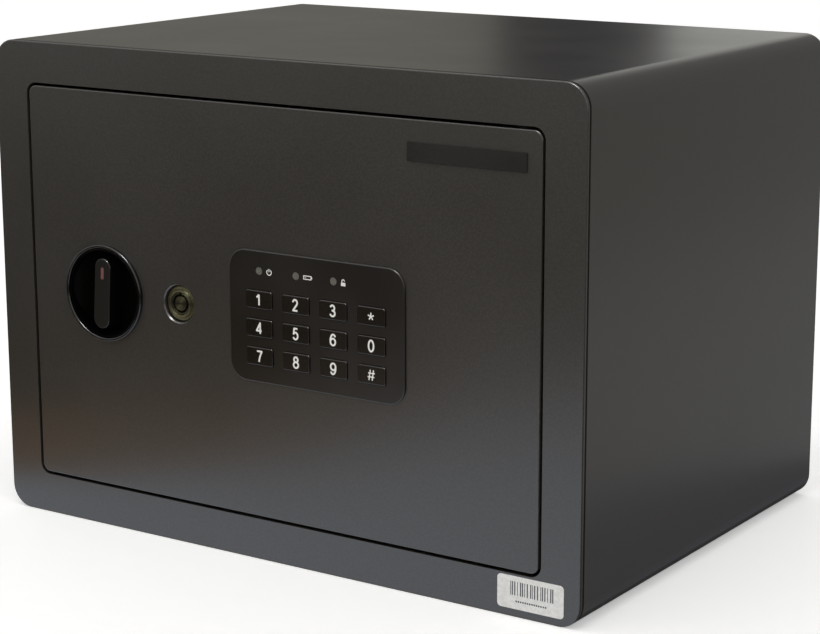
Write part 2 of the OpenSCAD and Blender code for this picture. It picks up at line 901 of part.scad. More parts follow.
// Placed on a bolt's axis at the ear, with +Z turned towards the bolt's tip
module on_bolts() {
    for (side = [-1, 1])
        translate([ear_left_x, at_depth(bolt_depth), fittings_z + side * bolt_spread])
            rotate([0, -90, 0]) children();
}

module locking_bolts() {
    bore_l = bolt_screw_l - ear_t + seat_gap;
    color("#cfcfca") on_bolts() difference() {
        rotate_extrude() polygon([
            [0, 0], [bolt_r, 0], [bolt_r, bolt_l - tip_chamfer], [bolt_r - tip_chamfer, bolt_l], [0, bolt_l]
        ]);
        translate([0, 0, -over]) cylinder(r = bolt_shank_r + seat_gap, h = bore_l + over);
    }
}

module bolt_screws() {
    color("#b8b8b4") on_bolts() {
        translate([0, 0, -ear_t - bolt_head_h]) cylinder(r = bolt_head_r, h = bolt_head_h);
        translate([0, 0, -ear_t - seat_gap]) cylinder(r = bolt_shank_r, h = bolt_screw_l);
    }
}

module guide_posts() {
    color("#a9a79c") for (side = [-1, 1])
        turned(guide_x, fittings_z + side * guide_spread, door_t) {
            square([guide_shoulder_r, carriage_front - door_t - seat_gap]);
            square([guide_r, carriage_back - door_t + guide_past]);
        }
}

module guide_clips() {
    color("#8f8f8a") for (side = [-1, 1])
        turned(guide_x, fittings_z + side * guide_spread, carriage_back + 2 * seat_gap)
            translate([guide_r + running_gap, 0]) square([clip_r - guide_r - running_gap, clip_t]);
}

module bolt_bushes() {
    bore_r = bolt_r + bush_gap;
    color("#e0dccd") for (side = [-1, 1])
        translate([case_left_x, at_depth(bolt_depth), fittings_z + side * bolt_spread])
            rotate([0, 90, 0]) rotate_extrude() {
                translate([bore_r, -tip_past_case]) square([bush_t, bush_l]);
                translate([bore_r, case_t]) square([bush_t + bush_flange_w, bush_flange_t]);
            }
}

// Key lock

// Barrel with a raised lip round the plug and a shoulder behind the door plate
module lock_barrel() {
    shoulder_r = barrel_r + barrel_shoulder_w;
    color("#8a8775") turned(lock_x, fittings_z, barrel_recess) difference() {
        union() {
            polygon([
                [0, 0], [lip_r - lip_slope, 0], [lip_r, lip_step],
                [barrel_r - barrel_chamfer, lip_step], [barrel_r, lip_step + barrel_chamfer],
                [barrel_r, barrel_l], [0, barrel_l]
            ]);
            translate([0, door_t - barrel_recess]) square([shoulder_r, barrel_shoulder_t]);
        }
        translate([-over, -over]) square([plug_r + running_gap + over, barrel_l + 2 * over]);
    }
}

// Strap over the barrel's shoulder, with two feet on the door plate
module lock_bracket() {
    half = barrel_r + barrel_shoulder_w + strap_t;
    top = door_t + barrel_shoulder_t;
    color("#a9a79c") difference() {
        union() {
            block(lock_x - strap_w / 2, top, fittings_z - half - strap_t, [strap_w, strap_t, 2 * (half + strap_t)]);
            for (side = [-1, 1]) translate([0, 0, fittings_z]) scale([1, 1, side]) {
                block(lock_x - strap_w / 2, door_t, half, [strap_w, barrel_shoulder_t, strap_t]);
                block(lock_x - strap_w / 2, door_t, half, [strap_w, strap_t, strap_foot]);
            }
        }
        rod_back(lock_x, fittings_z, top - over, barrel_r + seat_gap, strap_t + 2 * over);
    }
}

module key_plug() {
    keyway_out = plug_r - keyway_rim;
    color("#9a977f") difference() {
        turned(lock_x, fittings_z, plug_recess) {
            translate([0, plug_chamfer]) square([plug_r, barrel_back - plug_recess - plug_chamfer]);
            polygon([[0, 0], [plug_r - plug_chamfer, 0], [plug_r, plug_chamfer], [0, plug_chamfer]]);
            square([plug_tail_r, cam_back - plug_recess]);
        }
        turned(lock_x, fittings_z, plug_recess - over)
            translate([keyway_out - keyway_w, 0]) square([keyway_w, keyway_depth + over]);
        block(lock_x - key_notch_w / 2, plug_recess - over, fittings_z + keyway_out - keyway_w / 2,
            [key_notch_w, keyway_depth / 2 + over, keyway_w / 2 + keyway_rim + over]);
        rod_back(lock_x, fittings_z, cam_back - knob_screw_l - seat_gap, small_shank_r + seat_gap, knob_screw_l + over);
    }
}

module override_cam() {
    color("#a9a79c") slab(cam_front, cam_t) difference() {
        long_slot(lock_x - cam_l + cam_w / 2, fittings_z, cam_l - cam_w / 2, cam_w / 2);
        translate([lock_x, fittings_z]) circle(r = plug_tail_r + running_gap);
    }
}

module cam_screw() {
    color("#c4c2b8") small_screw(lock_x, fittings_z, cam_back, knob_screw_l);
}

// Solenoid

module at_plunger(height) {
    translate([lock_x, at_depth(plunger_depth), fittings_z + height]) children();
}

module solenoid_frame() {
    bore_r = plunger_r + coil_bore_gap;
    color("#8f9190") difference() {
        union() {
            block(lock_x - yoke_w / 2, door_t, fittings_z + coil_low, [yoke_w, yoke_t, coil_h]);
            for (height = [coil_low, coil_low + coil_h - yoke_t])
                block(lock_x - yoke_w / 2, door_t, fittings_z + height,
                    [yoke_w, plunger_depth + yoke_tail - door_t, yoke_t]);
        }
        at_plunger(coil_low - over) cylinder(r = bore_r, h = yoke_t + 2 * over);
    }
}

module solenoid_coil() {
    color("#a8622c") at_plunger(coil_low + yoke_t) difference() {
        cylinder(r = coil_r, h = coil_h - 2 * yoke_t);
        translate([0, 0, -over]) cylinder(r = plunger_r + coil_bore_gap, h = coil_h);
    }
}

module solenoid_plunger() {
    color("#c9c9c4") {
        at_plunger(plunger_tip) cylinder(r = plunger_r, h = plunger_top - plunger_tip);
        at_plunger(collar_low) cylinder(r = collar_r, h = collar_t);
        at_plunger(collar_low + collar_t / 2) rotate([-90, 0, 0])
            cylinder(r = peg_r, h = cam_back - plunger_depth + slide_gap);
    }
}

module plunger_spring() {
    spring_low = collar_low + collar_t + spring_gap;
    color("#c9c9c4") at_plunger(spring_low)
        coil(spring_r, spring_r, spring_wire / 2, coil_low - spring_low - spring_gap, spring_turns);
}

// Keypad

key_columns = 4;
key_rows = 3;

function key_x(column) = keypad_x + key_shift_x + (column - (key_columns - 1) / 2) * column_pitch;
function key_z(row) = fittings_z + key_shift_z + ((key_rows - 1) / 2 - row) * row_pitch;

module lamp_places() {
    for (column = [0:2]) translate([key_x(column), fittings_z + lamp_row]) children();
}

module board_posts() {
    for (sx = [-1, 1], sz = [-1, 1])
        translate([
            keypad_x + sx * (housing_w / 2 - housing_wall - post_inset_x),
            fittings_z + sz * (housing_h / 2 - housing_wall - post_inset_z)
        ]) children();
}

module housing_inside(gap) {
    translate([keypad_x, fittings_z]) round_rect(
        housing_w - 2 * housing_wall - 2 * gap,
        housing_h - 2 * housing_wall - 2 * gap,
        housing_r - housing_wall - gap
    );
}

module keypad_housing() {
    color("#1b1a14") {
        difference() {
            union() {
                rimmed_slab(keypad_x, fittings_z, -keypad_proud, keypad_w, keypad_h, keypad_r, keypad_proud, keypad_round);
                slab(-keypad_proud / 2, housing_back + keypad_proud / 2)
                    translate([keypad_x, fittings_z]) round_rect(housing_w, housing_h, housing_r);
            }
            slab(face_back, housing_back) housing_inside(0);
            slab(-keypad_proud - over, face_t + 2 * over) {
                for (column = [0:key_columns - 1], row = [0:key_rows - 1])
                    translate([key_x(column), key_z(row)])
                        round_rect(key_w + 2 * window_gap, key_h + 2 * window_gap, window_r);
                lamp_places() circle(r = lamp_r + seat_gap);
            }
        }
        slab(face_back - face_t / 2, board_front - face_back + face_t / 2) board_posts() circle(r = post_r);
        for (sx = [-1, 1], sz = [-1, 1]) translate([0, 0, fittings_z]) scale([1, 1, sz])
            block(keypad_x + sx * hook_x - hook_w / 2, door_t + seat_gap, housing_h / 2 - housing_wall,
                [hook_w, hook_l, housing_wall + hook_out]);
    }
}

module keypad_back() {
    color("#201f1b") {
        slab(housing_back, back_plate_t) translate([keypad_x, fittings_z]) round_rect(housing_w, housing_h, housing_r);
        slab(board_back, housing_back - board_back) board_posts() circle(r = post_r - pad_post_gap);
    }
}

module key_mat() {
    color("#5a5a56") {
        slab(pad_front, mat_sheet_t) difference() {
            housing_inside(pad_post_gap);
            board_posts() circle(r = post_r + pad_post_gap);
            lamp_places() circle(r = lamp_r + lamp_flange + pad_post_gap);
        }
        slab(dome_front, dome_h) for (column = [0:key_columns - 1], row = [0:key_rows - 1])
            translate([key_x(column), key_z(row)]) circle(r = dome_r);
    }
}

module circuit_board() {
    color("#1f5a35") slab(board_front, board_t) housing_inside(pad_post_gap);
}

module status_lamps() {
    color("#8d8d85") {
        slab(lamp_recess - keypad_proud, board_front + keypad_proud - lamp_recess) lamp_places() circle(r = lamp_r);
        slab(board_front - lamp_flange_t, lamp_flange_t) lamp_places() circle(r = lamp_r + lamp_flange);
    }
}

module buzzer() {
    color("#1a1a1a") rod_back(keypad_x + buzzer_shift, fittings_z, board_back, buzzer_r, buzzer_h);
}

module keypad_key(column, row) {
    color("#26251e") {
        rimmed_slab(key_x(column), key_z(row), -keypad_proud - key_proud, key_w, key_h, key_r,
            keypad_proud + key_proud + key_rest + key_flange_t / 2, key_round);
        slab(key_rest, key_flange_t) translate([key_x(column), key_z(row)])
            round_rect(key_w + 2 * key_flange, key_h + 2 * key_flange, key_r);
    }
}

// Batteries

module cell_rows() {
    for (i = [0:cell_count - 1])
        translate([holder_x, at_depth(cell_depth), holder_z + (i - (cell_count - 1) / 2) * cell_pitch])
            scale([i % 2 == 0 ? 1 : -1, 1, 1]) children();
}

module battery_holder() {
    outer_w = holder_w + 2 * bezel_border;
    outer_h = holder_h + 2 * bezel_border;
    inner_w = holder_w - 2 * holder_wall;
    inner_h = holder_h - 2 * holder_wall;
    slot_w = lid_w + 2 * lid_side_gap;
    color("#1c1c1a") difference() {
        union() {
            slab(holder_front, rail_back - holder_front) translate([holder_x, holder_z])
                square([holder_w, holder_h], center = true);
            slab(cover_back, rail_back - cover_back) translate([holder_x, holder_z])
                round_rect(outer_w, outer_h, holder_wall);
        }
        slab(holder_front + holder_wall, rail_back - holder_front) translate([holder_x, holder_z])
            square([inner_w, inner_h], center = true);
        slab(slot_front, slot_back - slot_front)
            translate([holder_x - slot_w / 2, holder_z - outer_h / 2 - over])
                square([slot_w, lid_h + over + lid_side_gap]);
        slab(slot_front, rail_back - slot_front + over)
            translate([holder_x - slot_w / 2 + rail_lip, holder_z - outer_h / 2 - over])
                square([slot_w - 2 * rail_lip, lid_h + over - rail_lip]);
    }
}

module battery_cells() {
    color("#b9843a") cell_rows() translate([spring_side / 2 - cell_l / 2, 0, 0]) rotate([0, 90, 0]) {
        cylinder(d = cell_d, h = cell_l - cell_button_l);
        cylinder(r = cell_button_r, h = cell_l);
    }
}

module battery_contacts() {
    flat = contact_side;
    left = -holder_w / 2 + holder_wall;
    color("#c9c9c4") cell_rows() {
        translate([left, -flat / 2, -flat / 2]) cube([contact_t, flat, flat]);
        translate([-left - contact_t, -flat / 2, -flat / 2]) cube([contact_t, flat, flat]);
        translate([left + contact_t, 0, 0]) rotate([0, 90, 0])
            coil(flat / 2, flat / 3, contact_wire / 2, spring_side - seat_gap, contact_coils);
    }
}

module battery_cover() {
    lid_low = holder_z - holder_h / 2 - bezel_border;
    color("#1a1a18") {
        slab(slot_front + lid_gap, lid_t) translate([holder_x - lid_w / 2, lid_low]) square([lid_w, lid_h]);
        slab(slot_front + lid_gap + lid_t / 2, lid_t / 2 + lip_t)
            for (i = [1:rib_count])
                translate([holder_x - rib_w / 2, lid_low + i * rib_pitch]) square([rib_w, rib_h]);
    }
}

// Reset switch

module reset_switch() {
    color("#20201e") difference() {
        slab(case_back - reset_box_t, reset_box_t) translate([reset_x, reset_z]) square(reset_box, center = true);
        rod_back(reset_x, reset_z, cover_back + reset_proud - reset_l - reset_travel - seat_gap,
            reset_r + seat_gap, reset_l + 2 * over);
    }
}

module reset_button() {
    color("#b03224") rod_back(reset_x, reset_z, cover_back + reset_proud - reset_l, reset_r, reset_l);
}

body_wrap();
front_frame();
back_panel();
bolt_striker();
hinge_brackets();
floor_mat();
info_sticker();
door_plate();
door_case();
rear_cover();
cover_screws();
hinge_lugs();
hinge_pins();
hinge_washers();
name_badge();
knob_bezel();
lock_barrel();
lock_bracket();
keypad_housing();
keypad_back();
key_mat();
circuit_board();
status_lamps();
buzzer();
solenoid_frame();
solenoid_coil();
plunger_spring();
guide_posts();
guide_clips();
bolt_bushes();
battery_holder();
battery_cells();
battery_contacts();
reset_switch();
knob_handle();
knob_index();
knob_crank();
knob_screw();
bolt_carriage();
locking_bolts();
bolt_screws();
solenoid_plunger();
key_plug();
override_cam();
cam_screw();
keypad_key(0, 0);  // key_1
keypad_key(1, 0);  // key_2
keypad_key(2, 0);  // key_3
keypad_key(3, 0);  // key_star
keypad_key(0, 1);  // key_4
keypad_key(1, 1);  // key_5
keypad_key(2, 1);  // key_6
keypad_key(3, 1);  // key_0
keypad_key(0, 2);  // key_7
keypad_key(1, 2);  // key_8
keypad_key(2, 2);  // key_9
keypad_key(3, 2);  // key_hash
reset_button();
battery_cover();
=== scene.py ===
"""Furniture safe: finishes, small printed marks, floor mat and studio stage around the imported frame."""
import json
import math

import bmesh
import bpy
from mathutils import Matrix, Vector, noise
from mathutils.geometry import delaunay_2d_cdt


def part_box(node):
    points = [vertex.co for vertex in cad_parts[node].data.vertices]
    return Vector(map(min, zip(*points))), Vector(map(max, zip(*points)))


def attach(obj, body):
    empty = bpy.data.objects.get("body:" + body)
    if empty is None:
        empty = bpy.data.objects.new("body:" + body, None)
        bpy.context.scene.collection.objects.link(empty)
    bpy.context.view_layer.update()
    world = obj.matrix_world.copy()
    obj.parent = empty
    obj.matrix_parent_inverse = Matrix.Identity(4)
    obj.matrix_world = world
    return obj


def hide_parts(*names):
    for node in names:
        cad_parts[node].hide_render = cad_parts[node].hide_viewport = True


bl_info = {
    "name": "Furniture safe",
    "version": (1, 0, 0),
    "blender": (4, 5, 0),
    "location": "View3D > Sidebar > Safe",
    "description": "Finishes a sheet-steel furniture safe and sets its studio stage",
    "category": "Object",
}

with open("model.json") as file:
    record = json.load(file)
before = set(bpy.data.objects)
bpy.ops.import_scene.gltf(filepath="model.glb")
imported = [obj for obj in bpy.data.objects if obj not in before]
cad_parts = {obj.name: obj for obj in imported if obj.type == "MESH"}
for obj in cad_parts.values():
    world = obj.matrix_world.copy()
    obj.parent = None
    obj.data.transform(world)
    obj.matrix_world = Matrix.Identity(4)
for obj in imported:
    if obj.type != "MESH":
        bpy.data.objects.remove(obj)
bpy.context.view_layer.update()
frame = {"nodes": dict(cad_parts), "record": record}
MM = 0.001


def linear(code):
    """An sRGB hex colour as linear red, green and blue."""
    parts = [int(code[i : i + 2], 16) / 255 for i in (1, 3, 5)]
    return tuple(v / 12.92 if v <= 0.04045 else ((v + 0.055) / 1.055) ** 2.4 for v in parts)


def middle(node):
    """Centre of a CAD node's box."""
    low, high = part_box(node)
    return (Vector(low) + Vector(high)) / 2


# Settings


class FinishSettings(bpy.types.PropertyGroup):
    """Colours and grain of the coated sheet, the plastics and the lock."""

    coat: bpy.props.FloatVectorProperty(
        name="Powder coat", description="Darker shade of the powder coat", subtype="COLOR",
        size=3, min=0, max=1, default=linear("#2e2b26"))
    coat_light: bpy.props.FloatVectorProperty(
        name="Powder coat, light grain", description="Lighter shade of the powder coat's grain", subtype="COLOR",
        size=3, min=0, max=1, default=linear("#37342f"))
    coat_grain: bpy.props.FloatProperty(
        name="Coat grain", description="Width of a grain of the coat's texture", subtype="DISTANCE",
        unit="LENGTH", min=0.2 * MM, max=4 * MM, default=1.1 * MM)
    coat_rough: bpy.props.FloatProperty(
        name="Coat roughness", description="Roughness of the powder coat", subtype="FACTOR",
        min=0.05, max=1, default=0.295)
    knob: bpy.props.FloatVectorProperty(
        name="Knob", description="Colour of the turning knob", subtype="COLOR", size=3, min=0, max=1,
        default=linear("#060605"))
    # The grip bar's colour, lighter than the knob's, is partly painted light on the bar's face
    grip: bpy.props.FloatVectorProperty(
        name="Grip bar", description="Colour of the satin face of the grip bar", subtype="COLOR", size=3, min=0,
        max=1, default=linear("#1b1915"))
    keypad: bpy.props.FloatVectorProperty(
        name="Keypad", description="Colour of the keypad housing", subtype="COLOR", size=3, min=0, max=1,
        default=linear("#120e08"))
    nickel: bpy.props.FloatVectorProperty(
        name="Lock", description="Colour of the nickel-plated key lock", subtype="COLOR", size=3, min=0, max=1,
        default=linear("#868468"))


class PrintSettings(bpy.types.PropertyGroup):
    """Sizes and colours of the printed marks."""

    ink: bpy.props.FloatVectorProperty(
        name="Ink", description="Colour of the digits and pictograms", subtype="COLOR", size=3, min=0, max=1,
        default=linear("#f4f2ec"))
    digit_h: bpy.props.FloatProperty(
        name="Digit height", description="Height of the digits on the keys", subtype="DISTANCE", unit="LENGTH",
        min=3 * MM, max=8 * MM, default=6.2 * MM)
    digit_w: bpy.props.FloatProperty(
        name="Digit width", description="Width of the digits on the keys", subtype="DISTANCE", unit="LENGTH",
        min=2 * MM, max=8 * MM, default=3.9 * MM)
    digit_line: bpy.props.FloatProperty(
        name="Digit line", description="Width of the lines that make a digit", subtype="DISTANCE", unit="LENGTH",
        min=0.4 * MM, max=1.6 * MM, default=0.92 * MM)
    ink_t: bpy.props.FloatProperty(
        name="Ink thickness", description="Thickness of the printed marks", subtype="DISTANCE", unit="LENGTH",
        min=0.01 * MM, max=0.2 * MM, default=0.05 * MM)
    sign_h: bpy.props.FloatProperty(
        name="Pictogram height", description="Height of the pictograms beside the lamps", subtype="DISTANCE",
        unit="LENGTH", min=1.5 * MM, max=5 * MM, default=3.2 * MM)


class MatSettings(bpy.types.PropertyGroup):
    """Colours and fibre of the felt mat."""

    dark: bpy.props.FloatVectorProperty(
        name="Felt", description="Darker fibre colour", subtype="COLOR", size=3, min=0, max=1,
        default=linear("#1d1d20"))
    light: bpy.props.FloatVectorProperty(
        name="Felt, light fibre", description="Lighter fibre colour", subtype="COLOR", size=3, min=0, max=1,
        default=linear("#46464c"))
    wave: bpy.props.FloatProperty(
        name="Unevenness", description="How far the felt's face rises and falls", subtype="DISTANCE",
        unit="LENGTH", min=0, max=0.6 * MM, default=0.35 * MM)


class StageSettings(bpy.types.PropertyGroup):
    """Floor, lamps and camera."""

    floor: bpy.props.FloatVectorProperty(
        name="Floor", description="Colour of the pale floor", subtype="COLOR", size=3, min=0, max=1,
        default=linear("#f3f2f0"))
    floor_white: bpy.props.FloatProperty(
        name="Floor white", description="What brings the floor near white to the eye", min=0, max=0.5, default=0.35)
    world: bpy.props.FloatProperty(
        name="Room light", description="Strength of the even light from all round", min=0, max=2, default=0.72)
    key: bpy.props.FloatProperty(
        name="Overhead lamp", description="Power of the long soft lamp overhead", subtype="POWER", unit="POWER",
        min=0, max=500, default=7)
    glint: bpy.props.FloatProperty(
        name="Glint lamp", description="Power of the lamp that shows in the rims only", subtype="POWER",
        unit="POWER", min=0, max=500, default=40)
    room_grey: bpy.props.FloatProperty(
        name="Room in reflections", description="Brightness of the grey cards that the glossy faces mirror",
        min=0, max=1, default=0.27)
    lens: bpy.props.FloatProperty(
        name="Lens", description="Focal length of the camera", subtype="DISTANCE_CAMERA", min=20, max=300,
        default=99)


# Materials

# A wave texture of scale 1 repeats every this many metres
WAVE = 0.3142
# Settings that several nodes share: a smooth passage, a mix of colours
SMOOTH = {"interpolation_type": "SMOOTHSTEP"}
COLOURS = {"data_type": "RGBA"}


def add(tree, kind, settings=None, feeds=None):
    """Adds one node with its settings; feeds are numbers or sockets for its inputs, by name or place."""
    made = tree.nodes.new(kind)
    for key, value in (settings or {}).items():
        setattr(made, key, value)
    for key, value in (feeds or {}).items():
        if isinstance(value, bpy.types.NodeSocket):
            tree.links.new(value, made.inputs[key])
        else:
            made.inputs[key].default_value = value
    return made


def rgba(colour):
    """A colour with its fourth value, which is always 1."""
    return (*colour[:3], 1.0)


def begin(name):
    """An empty material with a shader, its output and the piece's own coordinates."""
    material = bpy.data.materials.new(name)
    material.use_nodes = True
    tree = material.node_tree
    tree.nodes.clear()
    shader = add(tree, "ShaderNodeBsdfPrincipled")
    add(tree, "ShaderNodeOutputMaterial", feeds={"Surface": shader.outputs[0]})
    place = add(tree, "ShaderNodeTexCoord").outputs["Object"]
    return material, tree, shader, place


def grain(tree, place, width, detail=3.0, stretch=(1, 1, 1), turn=(0, 0, 0)):
    """Noise whose grains are about width metres across, drawn out along an axis by stretch."""
    where = add(tree, "ShaderNodeMapping", feeds={0: place, "Rotation": turn, "Scale": stretch}).outputs[0]
    return add(tree, "ShaderNodeTexNoise",
               feeds={"Vector": where, "Scale": 1 / width, "Detail": detail}).outputs["Fac"]


def shades(tree, pattern, dark, light, start=0.35, end=0.65):
    """Two shades of a colour, passing from one to the other where a pattern goes from start to end."""
    share = add(tree, "ShaderNodeMapRange", SMOOTH, {"Value": pattern, "From Min": start, "From Max": end}).outputs[0]
    return add(tree, "ShaderNodeMix", COLOURS, {0: share, 6: rgba(dark), 7: rgba(light)}).outputs[2]


def uneven(tree, place, rough):
    """A roughness that changes a little over patches some 50 mm wide."""
    wide = grain(tree, place, 50 * MM, 2)
    return add(tree, "ShaderNodeMapRange", SMOOTH,
               {"Value": wide, "From Min": 0.3, "From Max": 0.7,
                "To Min": rough * 0.92, "To Max": min(rough * 1.1, 1)}).outputs[0]


def link(tree, shader, **feeds):
    """Links sockets to the shader's inputs, by name."""
    for key, value in feeds.items():
        tree.links.new(value, shader.inputs[key.replace("_", " ")])


def surface(name, dark, light, rough, grain_w, depth, metallic=0.0, ior=None, coat=0.0):
    """A finish of two shades in fine grain, with uneven gloss and a shallow relief of the same grain."""
    material, tree, shader, place = begin(name)
    fine = grain(tree, place, grain_w)
    link(tree, shader,
         Base_Color=shades(tree, fine, dark, light),
         Roughness=uneven(tree, place, rough),
         Normal=add(tree, "ShaderNodeBump", feeds={"Height": fine, "Distance": depth}).outputs[0])
    shader.inputs["Metallic"].default_value = metallic
    shader.inputs["Coat Weight"].default_value = coat
    if ior:
        shader.inputs["IOR"].default_value = ior
    return material


def powder_coat(settings, name, contrast):
    # Fine-texture polyester powder coat on steel sheet, oven cured: a satin, anthracite skin of small
    # rounded grains. The real grain is about 0.4 mm; it is drawn coarser so that it shows, and fainter on
    # the wrap, whose faces are seen at a slant. Its roughness stays above 0.275: a denoiser takes glossier
    # finishes for mirrors and would draw the edges of the patches where it changes.
    material, tree, shader, place = begin(name)
    cells = add(tree, "ShaderNodeTexVoronoi", {"feature": "SMOOTH_F1"},
                {"Vector": place, "Scale": 1 / settings.coat_grain, "Smoothness": 0.5}).outputs["Distance"]
    domes = add(tree, "ShaderNodeMapRange", SMOOTH,
                {"Value": cells, "From Min": 0.1, "From Max": 0.7,
                 "To Min": 0.5 + contrast / 2, "To Max": 0.5 - contrast / 2}).outputs[0]
    wide = grain(tree, place, 70 * MM, 2)
    rough, change = settings.coat_rough, 0.015
    link(tree, shader,
         Base_Color=add(tree, "ShaderNodeMix", COLOURS,
                        {0: domes, 6: rgba(settings.coat), 7: rgba(settings.coat_light)}).outputs[2],
         Roughness=add(tree, "ShaderNodeMapRange", SMOOTH,
                       {"Value": wide, "From Min": 0.3, "From Max": 0.7,
                        "To Min": rough - change, "To Max": rough + change}).outputs[0],
         Normal=add(tree, "ShaderNodeBump", feeds={"Height": domes, "Distance": 0.005 * MM}).outputs[0])
    shader.inputs["IOR"].default_value = 1.65
    return material


def zinc_steel():
    # Zinc-plated pressed steel, clear passivated: dull silver with cloudy patches and a hint of yellow.
    material, tree, shader, place = begin("Zinc_plated_steel")
    clouds, fine = grain(tree, place, 14 * MM, 4), grain(tree, place, 2.2 * MM)
    link(tree, shader,
         Base_Color=shades(tree, clouds, linear("#a29f92"), linear("#c2bfb4"), end=0.7),
         Roughness=uneven(tree, place, 0.36),
         Normal=add(tree, "ShaderNodeBump", feeds={"Height": fine, "Distance": 0.008 * MM}).outputs[0])
    shader.inputs["Metallic"].default_value = 1.0
    return material


def bright_steel():
    # Nickel-plated turned steel: bright, with fine lathe marks along X drawn at 0.5 mm.
    material, tree, shader, place = begin("Nickel_plated_steel")
    marks = add(tree, "ShaderNodeTexWave", {"wave_type": "BANDS", "bands_direction": "X"},
                {"Vector": place, "Scale": WAVE / (0.5 * MM), "Distortion": 0.4}).outputs["Fac"]
    link(tree, shader,
         Base_Color=shades(tree, grain(tree, place, 1.2 * MM), linear("#bdbcb7"), linear("#cfcecb")),
         Roughness=uneven(tree, place, 0.2),
         Normal=add(tree, "ShaderNodeBump", feeds={"Height": marks, "Distance": 0.004 * MM}).outputs[0])
    shader.inputs["Metallic"].default_value = 1.0
    return material


def lock_nickel(settings, name, share):
    # Nickel-plated zinc die casting, face turned: olive-grey metal whose fine rings round the keyway draw its
    # shine out into a fan, brightest above and below. The plug gets a darker copy of it, painted shade of its recess.
    light = tuple(v * share for v in settings.nickel)
    shade = tuple(v * 0.62 for v in light)
    material, tree, shader, place = begin(name)
    where = add(tree, "ShaderNodeVectorMath", {"operation": "SUBTRACT"},
                {0: place, 1: tuple(middle("lock_barrel"))}).outputs[0]
    marks = add(tree, "ShaderNodeTexWave", {"wave_type": "RINGS", "rings_direction": "Y"},
                {"Vector": where, "Scale": WAVE / (0.6 * MM), "Distortion": 0.6, "Detail": 1.0}).outputs["Fac"]
    link(tree, shader,
         Base_Color=shades(tree, grain(tree, place, 0.8 * MM), shade, light),
         Roughness=uneven(tree, place, 0.34),
         Normal=add(tree, "ShaderNodeBump", feeds={"Height": marks, "Distance": 0.006 * MM}).outputs[0],
         Tangent=add(tree, "ShaderNodeTangent", {"direction_type": "RADIAL", "axis": "Y"}).outputs[0])
    shader.inputs["Metallic"].default_value = 1.0
    # A quarter turn from the tangent: the shine is drawn out across the rings
    shader.inputs["Anisotropic"].default_value = 0.8
    shader.inputs["Anisotropic Rotation"].default_value = 0.25
    return material


def moulded(name, colour, rough, depth=0.012 * MM, lift=1.5):
    # Injection-moulded ABS from a spark-eroded tool: even colour, faint orange-peel relief.
    light = tuple(min(v * lift, 1) for v in colour)
    return surface(name, tuple(colour), light, rough, 0.5 * MM, depth, ior=1.54)


def knob_abs(settings):
    # Gloss black ABS whose grip face is spark-eroded: black and shiny in the dish, satin on the bar. The bar face's
    # lighter olive colour is partly painted light, and the lower mirroring in the wells is painted shade.
    material, tree, shader, place = begin("Moulded_gloss_ABS")
    face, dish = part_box("knob_handle")[0].y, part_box("knob_bezel")[0].y
    below_face, rim_h, shade_h = 0.05 * MM, 0.3 * MM, 0.8 * MM
    depth = add(tree, "ShaderNodeSeparateXYZ", feeds={0: place}).outputs[1]
    # How far a point counts as grip face, and how strongly it mirrors: little on the face, less in the wells, where the
    # lowered mirroring is painted shade
    grip, rim, well = (
        add(tree, "ShaderNodeMapRange", SMOOTH,
            {"Value": depth, "From Min": start, "From Max": end, "To Min": low, "To Max": high}).outputs[0]
        for start, end, low, high in (
            (face + below_face, (face + dish) / 2, 1, 0),
            (face + below_face, face + rim_h, 0.15, 0.5),
            (dish, dish + shade_h, 1, 0.03)))
    fine = grain(tree, place, 0.6 * MM)
    # Grain in two shades of the grip colour, which is partly painted light
    grip_grain_and_light = shades(tree, fine, tuple(v * 0.8 for v in settings.grip), settings.grip)
    link(tree, shader,
         Base_Color=add(tree, "ShaderNodeMix", COLOURS, {0: grip, 6: rgba(settings.knob), 7: grip_grain_and_light}).outputs[2],
         Roughness=add(tree, "ShaderNodeMapRange", SMOOTH, {"Value": grip, "To Min": 0.16, "To Max": 0.42}).outputs[0],
         Specular_IOR_Level=add(tree, "ShaderNodeMath", {"operation": "MULTIPLY"}, {0: rim, 1: well}).outputs[0],
         Normal=add(tree, "ShaderNodeBump", feeds={"Height": fine, "Distance": 0.004 * MM}).outputs[0])
    shader.inputs["IOR"].default_value = 1.54
    return material


def felt(settings):
    # Needle-punched polyester felt: matted fibres of 0.05 mm drawn as 0.7 mm tufts, with a soft sheen.
    material, tree, shader, place = begin("Needle_felt")
    long = grain(tree, place, 0.7 * MM, 6, (1, 0.35, 1))
    cross = grain(tree, place, 0.9 * MM, 6, (0.35, 1, 1), (0, 0, 0.6))
    both = add(tree, "ShaderNodeMath", {"operation": "MAXIMUM"}, {0: long, 1: cross}).outputs[0]
    link(tree, shader,
         Base_Color=shades(tree, both, settings.dark, settings.light, 0.48, 0.75),
         Normal=add(tree, "ShaderNodeBump",
                    feeds={"Height": both, "Distance": 0.5 * MM, "Strength": 0.8}).outputs[0])
    shader.inputs["Roughness"].default_value = 0.95
    shader.inputs["Sheen Weight"].default_value = 0.35
    shader.inputs["Sheen Roughness"].default_value = 0.5
    return material


